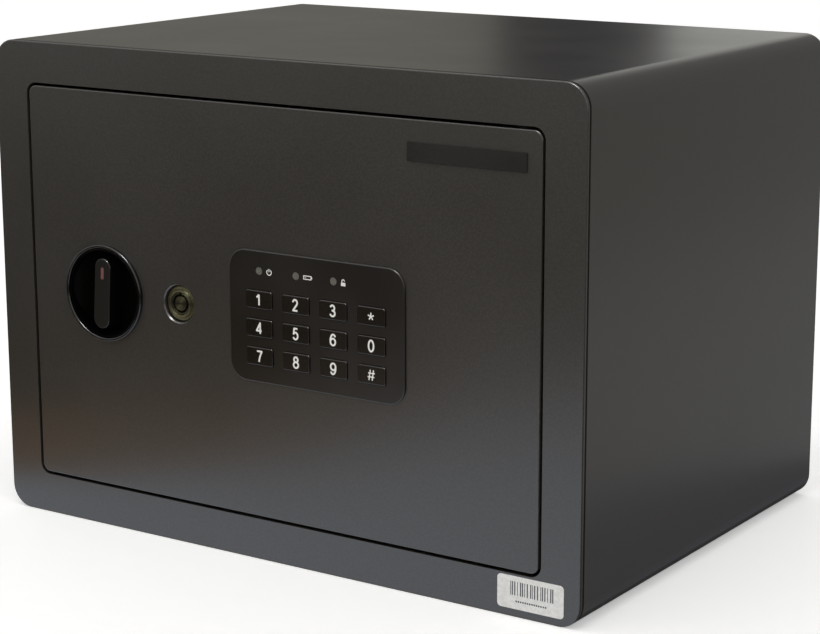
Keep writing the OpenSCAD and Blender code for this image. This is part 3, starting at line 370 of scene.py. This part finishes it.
def winding():
    # Enamelled copper wire in even turns: drawn at 0.8 mm a turn, wound round an upright bobbin, with dark and bright
    # copper bands across each turn as painted shade and highlight.
    material, tree, shader, place = begin("Enamelled_copper_wire")
    turns = add(tree, "ShaderNodeTexWave", {"wave_type": "BANDS", "bands_direction": "Z"},
                {"Vector": place, "Scale": WAVE / (0.8 * MM), "Distortion": 0.3}).outputs["Fac"]
    link(tree, shader,
         Base_Color=add(tree, "ShaderNodeMix", COLOURS,
                        {0: turns, 6: rgba(linear("#5f2f12")), 7: rgba(linear("#bd7238"))}).outputs[2],
         Roughness=uneven(tree, place, 0.31),
         Normal=add(tree, "ShaderNodeBump", feeds={"Height": turns, "Distance": 0.2 * MM}).outputs[0])
    shader.inputs["Metallic"].default_value = 1.0
    return material


def coat(nodes, material):
    """Gives CAD nodes a material on every slot."""
    for name in nodes:
        mesh = frame["nodes"][name].data
        if not mesh.materials:
            mesh.materials.append(material)
        for slot in range(len(mesh.materials)):
            mesh.materials[slot] = material


def slot_nodes(slot):
    """The CAD nodes that the record gives a material slot."""
    return [row["node"] for row in frame["record"]["subparts"] if row["material_slot"] == slot]


# Shapes


def mesh_of(shape, name):
    """A mesh of a shape, with its corners and faces in the same order each run."""
    verts = sorted(shape.verts, key=lambda v: tuple(v.co))
    faces = sorted(shape.faces, key=lambda f: tuple(f.calc_center_median()))
    for row in (verts, faces):
        for place, item in enumerate(row):
            item.index = place
    shape.verts.sort()
    shape.faces.sort()
    mesh = bpy.data.meshes.new(name)
    shape.to_mesh(mesh)
    shape.free()
    return mesh


def piece(name, mesh, body, material):
    """Puts a mesh in the scene, on a CAD body and material."""
    made = bpy.data.objects.new(name, mesh)
    bpy.context.scene.collection.objects.link(made)
    mesh.materials.clear()
    mesh.materials.append(material)
    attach(made, body)
    return made


def stamp(name, outlines, face_y, thickness):
    """Thin flat shapes on a face that looks along -Y; outlines are closed rows of (x, z)."""
    shape = bmesh.new()
    for outline in outlines:
        front = [shape.verts.new((x, face_y - thickness, z)) for x, z in outline]
        back = [shape.verts.new((x, face_y, z)) for x, z in outline]
        shape.faces.new(front)
        shape.faces.new(back[::-1])
        count = len(outline)
        for i in range(count):
            j = (i + 1) % count
            shape.faces.new((front[j], front[i], back[i], back[j]))
    bmesh.ops.recalc_face_normals(shape, faces=shape.faces)
    return mesh_of(shape, name)


def stroke(points, width):
    """Outline of a line of a width through points, with square ends."""
    left, right = [], []
    for i, point in enumerate(points):
        before = Vector(points[max(i - 1, 0)])
        after = Vector(points[min(i + 1, len(points) - 1)])
        along = (after - before).normalized()
        across = Vector((-along.y, along.x)) * width / 2
        left.append(tuple(Vector(point) + across))
        right.append(tuple(Vector(point) - across))
    return left + right[::-1]


def bar(x, z, w, h):
    """Outline of an upright rectangle from its lower left corner."""
    return [(x, z), (x + w, z), (x + w, z + h), (x, z + h)]


def cell_points(rows, width, height):
    """Points given as shares of a cell about the origin, in metres."""
    return [((u - 0.5) * width, (v - 0.5) * height) for u, v in rows]


def bow(u, v, wide, tall, start, end, steps):
    """Points along a round or oval arc about (u, v), angles in degrees from the right."""
    turns = [math.radians(start + (end - start) * i / steps) for i in range(steps + 1)]
    return [(u + wide * math.cos(turn), v + tall * math.sin(turn)) for turn in turns]


def thick_line(points, width):
    """Outlines that together make a line of a width: a box for each part and a disc for each bend."""
    shapes = []
    for i, (first, second) in enumerate(zip(points, points[1:])):
        along = Vector(second) - Vector(first)
        across = Vector((-along.y, along.x)).normalized() * width / 2
        shapes.append([tuple(Vector(p) + q) for p, q in
                       ((first, -across), (second, -across), (second, across), (first, across))])
        if i:
            # A disc of 24 corners, the first not repeated
            shapes.append(bow(*first, width / 2, width / 2, 0, 345, 23))
    return shapes


def merged(name, outlines, centre, face_y, thickness):
    """Overlapping outlines of (x, z) about a centre, joined to one flat raised sign on a face looking along -Y."""
    corners = [Vector(p) for outline in outlines for p in outline]
    starts = [sum(len(o) for o in outlines[:i]) for i in range(len(outlines))]
    faces = [list(range(start, start + len(outline))) for start, outline in zip(starts, outlines)]
    inside_only, nearest = 1, 1e-7
    verts, _, triangles, _, _, sources = delaunay_2d_cdt(corners, [], faces, inside_only, nearest)
    shape = bmesh.new()
    made = [shape.verts.new((centre.x + v.x, face_y, centre.z + v.y)) for v in verts]
    for triangle, inside in zip(triangles, sources):
        if inside:
            shape.faces.new([made[i] for i in triangle])
    bmesh.ops.delete(shape, geom=[v for v in shape.verts if not v.link_faces], context="VERTS")
    raised = bmesh.ops.extrude_face_region(shape, geom=shape.faces[:])
    bmesh.ops.translate(shape, verts=[g for g in raised["geom"] if isinstance(g, bmesh.types.BMVert)],
                        vec=(0, -thickness, 0))
    bmesh.ops.recalc_face_normals(shape, faces=shape.faces)
    return mesh_of(shape, name)


def ink_material(settings):
    # Pad-printed ink: opaque white, slightly uneven where the pad left less of it.
    return surface("Pad_printed_ink", tuple(v * 0.9 for v in settings.ink), tuple(settings.ink), 0.5,
                   0.6 * MM, 0.003 * MM)


# Centre lines of the keys' digits, as shares of the digit's width and height
SIX = bow(0.52, 0.74, 0.42, 0.26, 15, 90, 8) + bow(0.56, 0.42, 0.54, 0.58, 98, 180, 12) + [(0.02, 0.31)]
DIGITS = {
    "0": [bow(0.5, 0.5, 0.48, 0.5, 0, 360, 40)],
    "1": [[(0.1, 0.72), (0.32, 0.82), (0.6, 1)], [(0.6, 1), (0.6, 0)]],
    "2": [bow(0.48, 0.73, 0.43, 0.27, 170, -35, 18) + [(0.06, 0), (0.95, 0)]],
    "3": [bow(0.46, 0.75, 0.4, 0.25, 160, -80, 18) + [(0.36, 0.52)],
          [(0.36, 0.52)] + bow(0.47, 0.27, 0.46, 0.27, 88, -160, 22)],
    "4": [[(0.74, 0), (0.74, 1), (0.02, 0.27), (1, 0.27)]],
    "5": [[(0.9, 1), (0.24, 1), (0.12, 0.5)] + bow(0.47, 0.32, 0.46, 0.32, 140, -155, 24)],
    "6": [SIX, bow(0.5, 0.31, 0.48, 0.31, 0, 360, 32)],
    "7": [[(0.02, 1), (0.98, 1), (0.66, 0.6), (0.46, 0.25), (0.4, 0)]],
    "8": [bow(0.5, 0.77, 0.38, 0.23, 0, 360, 32), bow(0.5, 0.27, 0.47, 0.27, 0, 360, 32)],
    "9": [[(1 - u, 1 - v) for u, v in row] for row in (SIX, bow(0.5, 0.31, 0.48, 0.31, 0, 360, 32))],
    "star": [[(0.5, 0.5), (0.5 + 0.5 * math.sin(math.radians(turn)), 0.5 + 0.5 * math.cos(math.radians(turn)))]
             for turn in range(0, 360, 72)],
    "hash": [[(0.18, 0), (0.38, 1)], [(0.62, 0), (0.82, 1)], [(0, 0.32), (0.93, 0.32)], [(0.07, 0.68), (1, 0.68)]],
}
# Width, height and line of the two signs, as shares of a digit's
SIGN_SHARES = {"star": (1.1, 0.7, 0.72), "hash": (1.22, 0.92, 0.66)}


# Operators


class SAFE_OT_coated_sheet(bpy.types.Operator):
    """Finish the outer sheets in powder coat, and the striker and hinge pieces in a dip coat whose near black is
    painted shade in the door gap
    """

    bl_idname = "safe.coated_sheet"
    bl_label = "Powder-coated sheet"

    def execute(self, context):
        settings = context.scene.safe_finish
        coat(slot_nodes("painted_steel"), powder_coat(settings, "Powder_coated_steel", 1))
        coat(("body_wrap",), powder_coat(settings, "Powder_coated_wrap", 0.3))
        # Cathodic dip coat on the pieces behind the door and frame: thin, even and nearly black, and the near black is
        # painted shade in the door gap.
        dip_coat_gap_shade = surface("Dip_coat_painted_gap_shade", linear("#0f0f0e"), linear("#171716"), 0.38, 1.5 * MM, 0.004 * MM)
        coat(("bolt_striker", "hinge_brackets", "hinge_lugs"), dip_coat_gap_shade)
        return {"FINISHED"}


class SAFE_OT_plated_steel(bpy.types.Operator):
    """Finish the zinc-plated pressings and the bright turned steel"""

    bl_idname = "safe.plated_steel"
    bl_label = "Plated steel"

    def execute(self, context):
        coat(slot_nodes("zinc_steel"), zinc_steel())
        coat(slot_nodes("bright_steel"), bright_steel())
        return {"FINISHED"}


class SAFE_OT_knob(bpy.types.Operator):
    """Finish the knob and its fixed ring"""

    bl_idname = "safe.knob"
    bl_label = "Knob"

    def execute(self, context):
        settings = context.scene.safe_finish
        coat(slot_nodes("knob_plastic"), knob_abs(settings))
        coat(slot_nodes("ring_plastic"), moulded("Moulded_ring_ABS", settings.knob, 0.2, 0.004 * MM))
        # Inlay of red ABS, faded to pink by handling.
        coat(slot_nodes("index_red"), moulded("Moulded_faded_red_ABS", linear("#6f443f"), 0.4, lift=1.2))
        return {"FINISHED"}


class SAFE_OT_key_lock(bpy.types.Operator):
    """Finish the key lock"""

    bl_idname = "safe.key_lock"
    bl_label = "Key lock"

    def execute(self, context):
        settings = context.scene.safe_finish
        # Shares of the nickel's brightness: the plug's darker share is painted shade of its recess
        barrel, plug = 1.0, 0.48
        coat(slot_nodes("lock_nickel"), lock_nickel(settings, "Nickel_plated_barrel", barrel))
        coat(("key_plug",), lock_nickel(settings, "Nickel_plug_painted_shade", plug))
        return {"FINISHED"}


class SAFE_OT_keypad(bpy.types.Operator):
    """Finish the keypad housing, keys, lamps, dome mat and circuit board"""

    bl_idname = "safe.keypad"
    bl_label = "Keypad"

    def execute(self, context):
        settings = context.scene.safe_finish
        coat(slot_nodes("keypad_plastic"), moulded("Moulded_keypad_ABS", settings.keypad, 0.31, 0.005 * MM))
        coat(slot_nodes("key_plastic"), moulded("Moulded_key_ABS", settings.keypad, 0.24, 0.005 * MM))
        # Diffused epoxy lens, unlit: milky grey under a clear skin.
        lamp = surface("Diffused_epoxy", linear("#5d5d55"), linear("#73736a"), 0.22, 0.5 * MM, 0.003 * MM,
                       ior=1.53, coat=0.5)
        coat(slot_nodes("lamp_epoxy"), lamp)
        # Silicone rubber, press moulded: matt and slightly dusty.
        coat(slot_nodes("mat_rubber"),
             surface("Silicone_rubber", linear("#4e4e4a"), linear("#62625d"), 0.7, 0.8 * MM, 0.01 * MM))
        # Glass-fibre laminate under green solder resist: the weave of 0.6 mm shows through.
        coat(slot_nodes("board_laminate"),
             surface("Solder_resist_laminate", linear("#164a2a"), linear("#22643a"), 0.3, 0.6 * MM, 0.02 * MM))
        return {"FINISHED"}


class SAFE_OT_inner_fittings(bpy.types.Operator):
    """Finish the inner mouldings, bushes, coil, battery cells and reset button"""

    bl_idname = "safe.inner_fittings"
    bl_label = "Inner fittings"

    def execute(self, context):
        coat(slot_nodes("inner_plastic"), moulded("Moulded_black_ABS", linear("#161614"), 0.42, 0.02 * MM))
        # Graphite-filled nylon, turned: matt and almost black, and the near black is partly painted shade in the door
        # gap.
        coat(("hinge_washers",), surface("Graphite_filled_nylon", linear("#080808"), linear("#0d0d0d"), 0.7,
                                         1.0 * MM, 0.006 * MM, ior=1.3))
        coat(slot_nodes("nylon"), surface("Natural_nylon", linear("#d6d1c2"), linear("#e4e0d4"), 0.45,
                                          1.0 * MM, 0.006 * MM, ior=1.53))
        coat(slot_nodes("coil_copper"), winding())
        # Shrink film on a steel can: glossy printed copper colour, bare of words.
        coat(slot_nodes("cell_jacket"), surface("Printed_shrink_film", linear("#a8743a"), linear("#bd8848"), 0.24,
                                                3 * MM, 0.004 * MM, metallic=0.4, coat=0.4))
        coat(slot_nodes("reset_plastic"), moulded("Moulded_red_ABS", linear("#a82a20"), 0.3, lift=1.15))
        return {"FINISHED"}


class SAFE_OT_strip_and_sticker(bpy.types.Operator):
    """Finish the bare strip and the sticker, and print the sticker's plain bars"""

    bl_idname = "safe.strip_and_sticker"
    bl_label = "Strip and sticker"

    def execute(self, context):
        # Lacquered aluminium strip, bare: darker and glossier than the door, faint orange peel.
        coat(slot_nodes("strip_lacquer"),
             surface("Dark_lacquer", linear("#1d1b18"), linear("#24221e"), 0.24, 1.2 * MM, 0.003 * MM, ior=1.6))
        # Polyester label film: even white, faintly mottled, semi-matt.
        coat(slot_nodes("sticker_film"),
             surface("Label_film", linear("#e4e2de"), linear("#f0efec"), 0.42, 1.5 * MM, 0.004 * MM))
        low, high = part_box("info_sticker")
        height, width = high.z - low.z, high.x - low.x
        # Upright bars of a few widths and gaps, with a row of dashes below them
        thin, gap, step = 0.35 * MM, 0.45 * MM, 0.25 * MM
        marks = []
        x = low.x + 0.2 * width
        count = 0
        while x < high.x - 0.14 * width:
            thick = thin + step * (count * count % 3)
            marks.append(bar(x, low.z + 0.42 * height, thick, 0.42 * height))
            x += thick + gap + step * (count * 5 % 4)
            count += 1
        dashes, dash_w = 14, 0.8 * MM
        for place in range(dashes):
            marks.append(bar(low.x + (0.28 + 0.034 * place) * width, low.z + 0.22 * height, dash_w, 0.05 * height))
        # Thermal print on the film: dark grey, matt, hardly raised.
        ink = surface("Thermal_print", linear("#38383a"), linear("#48484a"), 0.5, 0.5 * MM, 0.002 * MM)
        piece("sticker_bars", stamp("sticker_bars", marks, low.y, 0.02 * MM), "cabinet", ink)
        return {"FINISHED"}


class SAFE_OT_key_digits(bpy.types.Operator):
    """Print one digit or sign on each key"""

    bl_idname = "safe.key_digits"
    bl_label = "Key digits"

    def execute(self, context):
        settings = context.scene.safe_print
        ink = ink_material(settings)
        for key, lines in DIGITS.items():
            shares = SIGN_SHARES.get(key, (1, 1, 1))
            line = settings.digit_line * shares[2]
            wide, tall = settings.digit_w * shares[0] - line, settings.digit_h * shares[1] - line
            marks = [mark for row in lines for mark in thick_line(cell_points(row, wide, tall), line)]
            name = "sign_" + key
            mesh = merged(name, marks, middle("key_" + key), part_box("key_" + key)[0].y, settings.ink_t)
            piece(name, mesh, "button_" + key, ink)
        return {"FINISHED"}


class SAFE_OT_lamp_signs(bpy.types.Operator):
    """Print a pictogram beside each lamp: power, low battery, open lock"""

    bl_idname = "safe.lamp_signs"
    bl_label = "Lamp pictograms"

    def execute(self, context):
        settings = context.scene.safe_print
        h = settings.sign_h
        line = h * 0.14
        low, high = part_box("status_lamps")
        row = (low.z + high.z) / 2
        columns = [middle("key_" + k).x for k in ("1", "2", "3")]
        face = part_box("keypad_housing")[0].y
        beside = 4.6 * MM
        # Each sign starts at x, to the right of its lamp, and is drawn in shares of the height h
        x, z = columns[0] + beside, row
        power = [
            stroke(bow(x + h / 2, z, h * 0.43, h * 0.43, 125, 415, 24), line),
            bar(x + h / 2 - line / 2, z + h * 0.04, line, h * 0.5),
        ]
        x = columns[1] + beside
        battery = [
            bar(x, z - h * 0.32, h * 1.5, line), bar(x, z + h * 0.32 - line, h * 1.5, line),
            bar(x, z - h * 0.32 + line, line, h * 0.64 - 2 * line),
            bar(x + h * 1.5 - line, z - h * 0.32 + line, line, h * 0.64 - 2 * line),
            bar(x + h * 1.5, z - h * 0.14, line, h * 0.28),
            bar(x + 2 * line, z - h * 0.32 + 2 * line, h * 0.22, h * 0.64 - 4 * line),
        ]
        x = columns[2] + beside
        padlock = [
            bar(x, z - h * 0.5, h * 0.8, h * 0.52),
            stroke([(x + h * 0.17, z + h * 0.02)]
                   + bow(x + h * 0.4, z + h * 0.22, h * 0.23, h * 0.23, 180, 0, 12), line),
        ]
        ink = ink_material(settings)
        for name, marks in (("lamp_sign_power", power), ("lamp_sign_battery", battery), ("lamp_sign_open", padlock)):
            piece(name, stamp(name, marks, face, settings.ink_t), "door", ink)
        return {"FINISHED"}


class SAFE_OT_floor_mat(bpy.types.Operator):
    """Lay the felt mat on the cabinet's floor, in place of its plain solid"""

    bl_idname = "safe.floor_mat"
    bl_label = "Felt mat"

    def execute(self, context):
        settings = context.scene.safe_mat
        low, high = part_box("floor_mat")
        width, length = high.x - low.x, high.y - low.y
        cell = 3 * MM
        across, along = round(width / cell), round(length / cell)
        hole_r, hole_x = 9 * MM, 100 * MM
        # Rises and falls per metre: slow ones of the sheet, quick ones of its tufts
        slow, quick = 28, 260
        shape = bmesh.new()
        bmesh.ops.create_grid(shape, x_segments=across, y_segments=along, size=0.5)
        for v in shape.verts:
            v.co = Vector((low.x + (v.co.x + 0.5) * width, low.y + (v.co.y + 0.5) * length, high.z))
        for side in (-1, 1):
            hole = Vector((side * hole_x, 0, high.z))
            inside = [f for f in shape.faces if (f.calc_center_median() - hole).length < hole_r + cell * 0.2]
            bmesh.ops.delete(shape, geom=inside, context="FACES")
            rim = {v for e in shape.edges if e.is_boundary for v in e.verts if (v.co - hole).length < 2 * hole_r}
            for v in rim:
                v.co = hole + (v.co - hole).normalized() * hole_r
        for v in shape.verts:
            lift = noise.noise(Vector((v.co.x * slow, v.co.y * slow, 3.7))) * 0.5 + 0.5
            fuzz = noise.noise(Vector((v.co.x * quick, v.co.y * quick, 9.1))) * 0.5 + 0.5
            v.co.z = high.z - settings.wave * (0.6 * lift + 0.4 * fuzz)
        rows = bmesh.ops.extrude_face_region(shape, geom=shape.faces[:])
        for v in (g for g in rows["geom"] if isinstance(g, bmesh.types.BMVert)):
            v.co.z = low.z
        bmesh.ops.recalc_face_normals(shape, faces=shape.faces)
        made = piece("felt_mat", mesh_of(shape, "felt_mat"), "cabinet", felt(settings))
        edge = made.modifiers.new("edge", "BEVEL")
        edge.width = 0.5 * MM
        edge.segments = 2
        edge.limit_method = "ANGLE"
        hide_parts("floor_mat")
        return {"FINISHED"}


# The camera's place in metres, and how far it turns to the left, looks down and leans, in degrees
CAMERA_AT = (0.65104, -0.97056, 0.36723)
CAMERA_TURN = (33.933, 12.827, -0.119)


class SAFE_OT_stage(bpy.types.Operator):
    """Set the pale floor, the soft lamps, the room light and the camera"""

    bl_idname = "safe.stage"
    bl_label = "Stage"

    def execute(self, context):
        settings = context.scene.safe_stage
        scene = context.scene
        scene.view_settings.view_transform = "Standard"
        self.floor(settings)
        self.room(scene, settings)
        self.lamps(settings)
        self.cards(settings)
        self.camera(scene, settings)
        return {"FINISHED"}

    def seen(self, tree):
        """1 for rays that show the background: straight, mirrored or through clear matter."""
        path = add(tree, "ShaderNodeLightPath").outputs
        mirrored = add(tree, "ShaderNodeMath", {"operation": "MAXIMUM"},
                       {0: path["Is Glossy Ray"], 1: path["Is Transmission Ray"]}).outputs[0]
        return add(tree, "ShaderNodeMath", {"operation": "MAXIMUM"}, {0: path["Is Camera Ray"], 1: mirrored}).outputs[0]

    def sheet(self, name, corners, material):
        """A flat piece of the stage from a row of corners."""
        shape = bmesh.new()
        shape.faces.new([shape.verts.new(corner) for corner in corners])
        mesh = mesh_of(shape, name)
        mesh.materials.append(material)
        made = bpy.data.objects.new(name, mesh)
        bpy.context.scene.collection.objects.link(made)
        return made

    def floor(self, settings):
        # Matt painted board: near white, faintly mottled, and as white as the background to the eye.
        material, tree, shader, place = begin("Pale_floor")
        fine = grain(tree, place, 8 * MM)
        shade = tuple(v * 0.97 for v in settings.floor)
        glow = add(tree, "ShaderNodeMath", {"operation": "MULTIPLY"}, {0: self.seen(tree), 1: settings.floor_white})
        link(tree, shader,
             Base_Color=shades(tree, fine, shade, settings.floor),
             Emission_Strength=glow.outputs[0])
        shader.inputs["Emission Color"].default_value = (1, 1, 1, 1)
        shader.inputs["Roughness"].default_value = 0.8
        half = 6
        corners = ((-half, -half, 0), (half, -half, 0), (half, half, 0), (-half, half, 0))
        self.sheet("studio_floor", corners, material)

    def room(self, scene, settings):
        world = bpy.data.worlds.new("Studio")
        world.use_nodes = True
        tree = world.node_tree
        tree.nodes.clear()
        light = add(tree, "ShaderNodeBackground", feeds={"Color": (1, 1, 1, 1), "Strength": settings.world})
        white = add(tree, "ShaderNodeBackground", feeds={"Color": (1, 1, 1, 1), "Strength": 1.0})
        mix = add(tree, "ShaderNodeMixShader", feeds={0: self.seen(tree), 1: light.outputs[0], 2: white.outputs[0]})
        add(tree, "ShaderNodeOutputWorld", feeds={"Surface": mix.outputs[0]})
        scene.world = world

    def cards(self, settings):
        """Cards that only glossy faces mirror: a grey room with a dark and a bright upright, and patches on the floor.

        Uprights stand between two directions from the camera, in degrees to the left of +Y, and a patch covers
        those that lie lower. The light of each is in linear red, green and blue.
        """
        grey = (settings.room_grey,) * 3
        eye = Vector(CAMERA_AT[:2])
        far, top = 3.5, 4.5

        def upright(first, last, low=0, high=top):
            """A standing card between two directions and two heights in metres."""
            left, right = (eye + far * Vector((-math.sin(math.radians(a)), math.cos(math.radians(a))))
                           for a in (first, last))
            return [(*left, low), (*right, low), (*right, high), (*left, high)]

        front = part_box("front_frame")[0].y
        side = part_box("body_wrap")[1].x

        def laid(height, *points):
            """A patch at a height in millimetres."""
            return [(x, y, height * MM) for x, y in points]

        def strip(start, end):
            """A patch along the right side, between two distances from it."""
            return laid(0.2, (side + start, front), (side + end, front), (side + end, far), (side + start, far))

        cards = {
            "card_room": (upright(62, 31.7), (0.265, 0.26, 0.23)),
            "card_upright": (upright(31.7, 27.4), (0, 0.002, 0.015)),
            "card_window": (upright(27.4, 18, 0, 1.3), (0.78, 0.78, 0.745)),
            "card_over_window": (upright(27.4, 18, 1.3), grey),
            "card_wall": (upright(18, -75), grey),
            "card_side_near": (laid(0.4, (side, front), (side + 0.10, front), (side + 0.10, 0.06), (side, 0.24)),
                               (0.16, 0.16, 0.19)),
            "card_side_middle": (strip(0, 0.40), (0.35, 0.355, 0.365)),
            "card_side_far": (strip(0.40, 3), (0.2, 0.2, 0.18)),
            "card_under": (laid(0.3, (side - 0.04, front), (side + 0.01, front), (side + 0.01, 0.16),
                                (side - 0.04, 0.16)), (0.05, 0.05, 0.05)),
            "card_dark": (laid(0.2, (-far, -far), (far, -far), (far, front), (-far, front)), (0.03, 0.025, 0.02)),
            "card_warm": (laid(0.4, (-0.40, front), (side, front), (0.10, -0.64), (0.0, -0.64), (-0.10, -0.47),
                               (-0.165, -0.365), (-0.28, -0.28)), (0.54, 0.34, 0.20)),
            "card_table": (laid(0.6, (-0.30, front), (side, front), (0.14, -0.60), (0.05, -0.60), (-0.05, -0.42),
                                (-0.09, -0.27), (-0.17, -0.185)), (0.98, 1.08, 1.24)),
        }
        for name, (corners, shade) in cards.items():
            material = bpy.data.materials.new(name)
            material.use_nodes = True
            material.cycles.emission_sampling = "NONE"
            tree = material.node_tree
            tree.nodes.clear()
            glow = add(tree, "ShaderNodeEmission", feeds={"Color": (*shade, 1), "Strength": 1.0})
            add(tree, "ShaderNodeOutputMaterial", feeds={"Surface": glow.outputs[0]})
            made = self.sheet(name, corners, material)
            for kind in ("camera", "diffuse", "transmission", "volume_scatter", "shadow"):
                setattr(made, "visible_" + kind, False)

    def lamps(self, settings):
        for name, at, aim, size, power in (
            ("overhead", (-0.15, -0.5, 1.8), (-0.15, -0.2, 0), (2.4, 0.25), settings.key),
            ("glint", (0.2, -0.95, 1.8), (0, -0.2, 0), (0.55, 0.5), settings.glint),
        ):
            data = bpy.data.lights.new(name, "AREA")
            data.shape = "RECTANGLE"
            data.size, data.size_y = size
            data.energy = power
            lamp = bpy.data.objects.new(name, data)
            lamp.location = at
            lamp.rotation_euler = (Vector(at) - Vector(aim)).to_track_quat("Z", "Y").to_euler()
            lamp.visible_diffuse = name != "glint"
            bpy.context.scene.collection.objects.link(lamp)

    def camera(self, scene, settings):
        yaw, pitch, roll = (math.radians(v) for v in CAMERA_TURN)
        forward = Vector((-math.sin(yaw) * math.cos(pitch), math.cos(yaw) * math.cos(pitch), -math.sin(pitch)))
        level = Vector((math.cos(yaw), math.sin(yaw), 0))
        upright = level.cross(forward)
        right = math.cos(roll) * level + math.sin(roll) * upright
        up = -math.sin(roll) * level + math.cos(roll) * upright
        data = bpy.data.cameras.new("camera")
        data.lens = settings.lens
        data.sensor_width = 36
        data.clip_start = 0.05
        data.clip_end = 40
        camera = bpy.data.objects.new("camera", data)
        turn = Matrix((right, up, -forward)).transposed().to_4x4()
        camera.matrix_world = Matrix.Translation(CAMERA_AT) @ turn
        scene.collection.objects.link(camera)
        scene.camera = camera


class SAFE_PT_panel(bpy.types.Panel):
    """Sidebar panel with the safe's settings and its pieces"""

    bl_idname = "SAFE_PT_panel"
    bl_label = "Furniture safe"
    bl_space_type = "VIEW_3D"
    bl_region_type = "UI"
    bl_category = "Safe"

    def draw(self, context):
        layout = self.layout
        for name, group in GROUPS.items():
            box = layout.box()
            settings = getattr(context.scene, name)
            for key in group.__annotations__:
                box.prop(settings, key)
        for operator in OPERATORS:
            layout.operator(operator.bl_idname)


GROUPS = {
    "safe_finish": FinishSettings,
    "safe_print": PrintSettings,
    "safe_mat": MatSettings,
    "safe_stage": StageSettings,
}
OPERATORS = (
    SAFE_OT_coated_sheet, SAFE_OT_plated_steel, SAFE_OT_knob, SAFE_OT_key_lock, SAFE_OT_keypad,
    SAFE_OT_inner_fittings, SAFE_OT_strip_and_sticker, SAFE_OT_key_digits, SAFE_OT_lamp_signs,
    SAFE_OT_floor_mat, SAFE_OT_stage,
)
CLASSES = (*GROUPS.values(), *OPERATORS, SAFE_PT_panel)


def register():
    for item in CLASSES:
        bpy.utils.register_class(item)
    for name, group in GROUPS.items():
        setattr(bpy.types.Scene, name, bpy.props.PointerProperty(type=group))


def unregister():
    for name in GROUPS:
        delattr(bpy.types.Scene, name)
    for item in reversed(CLASSES):
        bpy.utils.unregister_class(item)


def main():
    register()
    for operator in OPERATORS:
        group, name = operator.bl_idname.split(".")
        getattr(getattr(bpy.ops, group), name)()


if __name__ == "__main__":
    main()
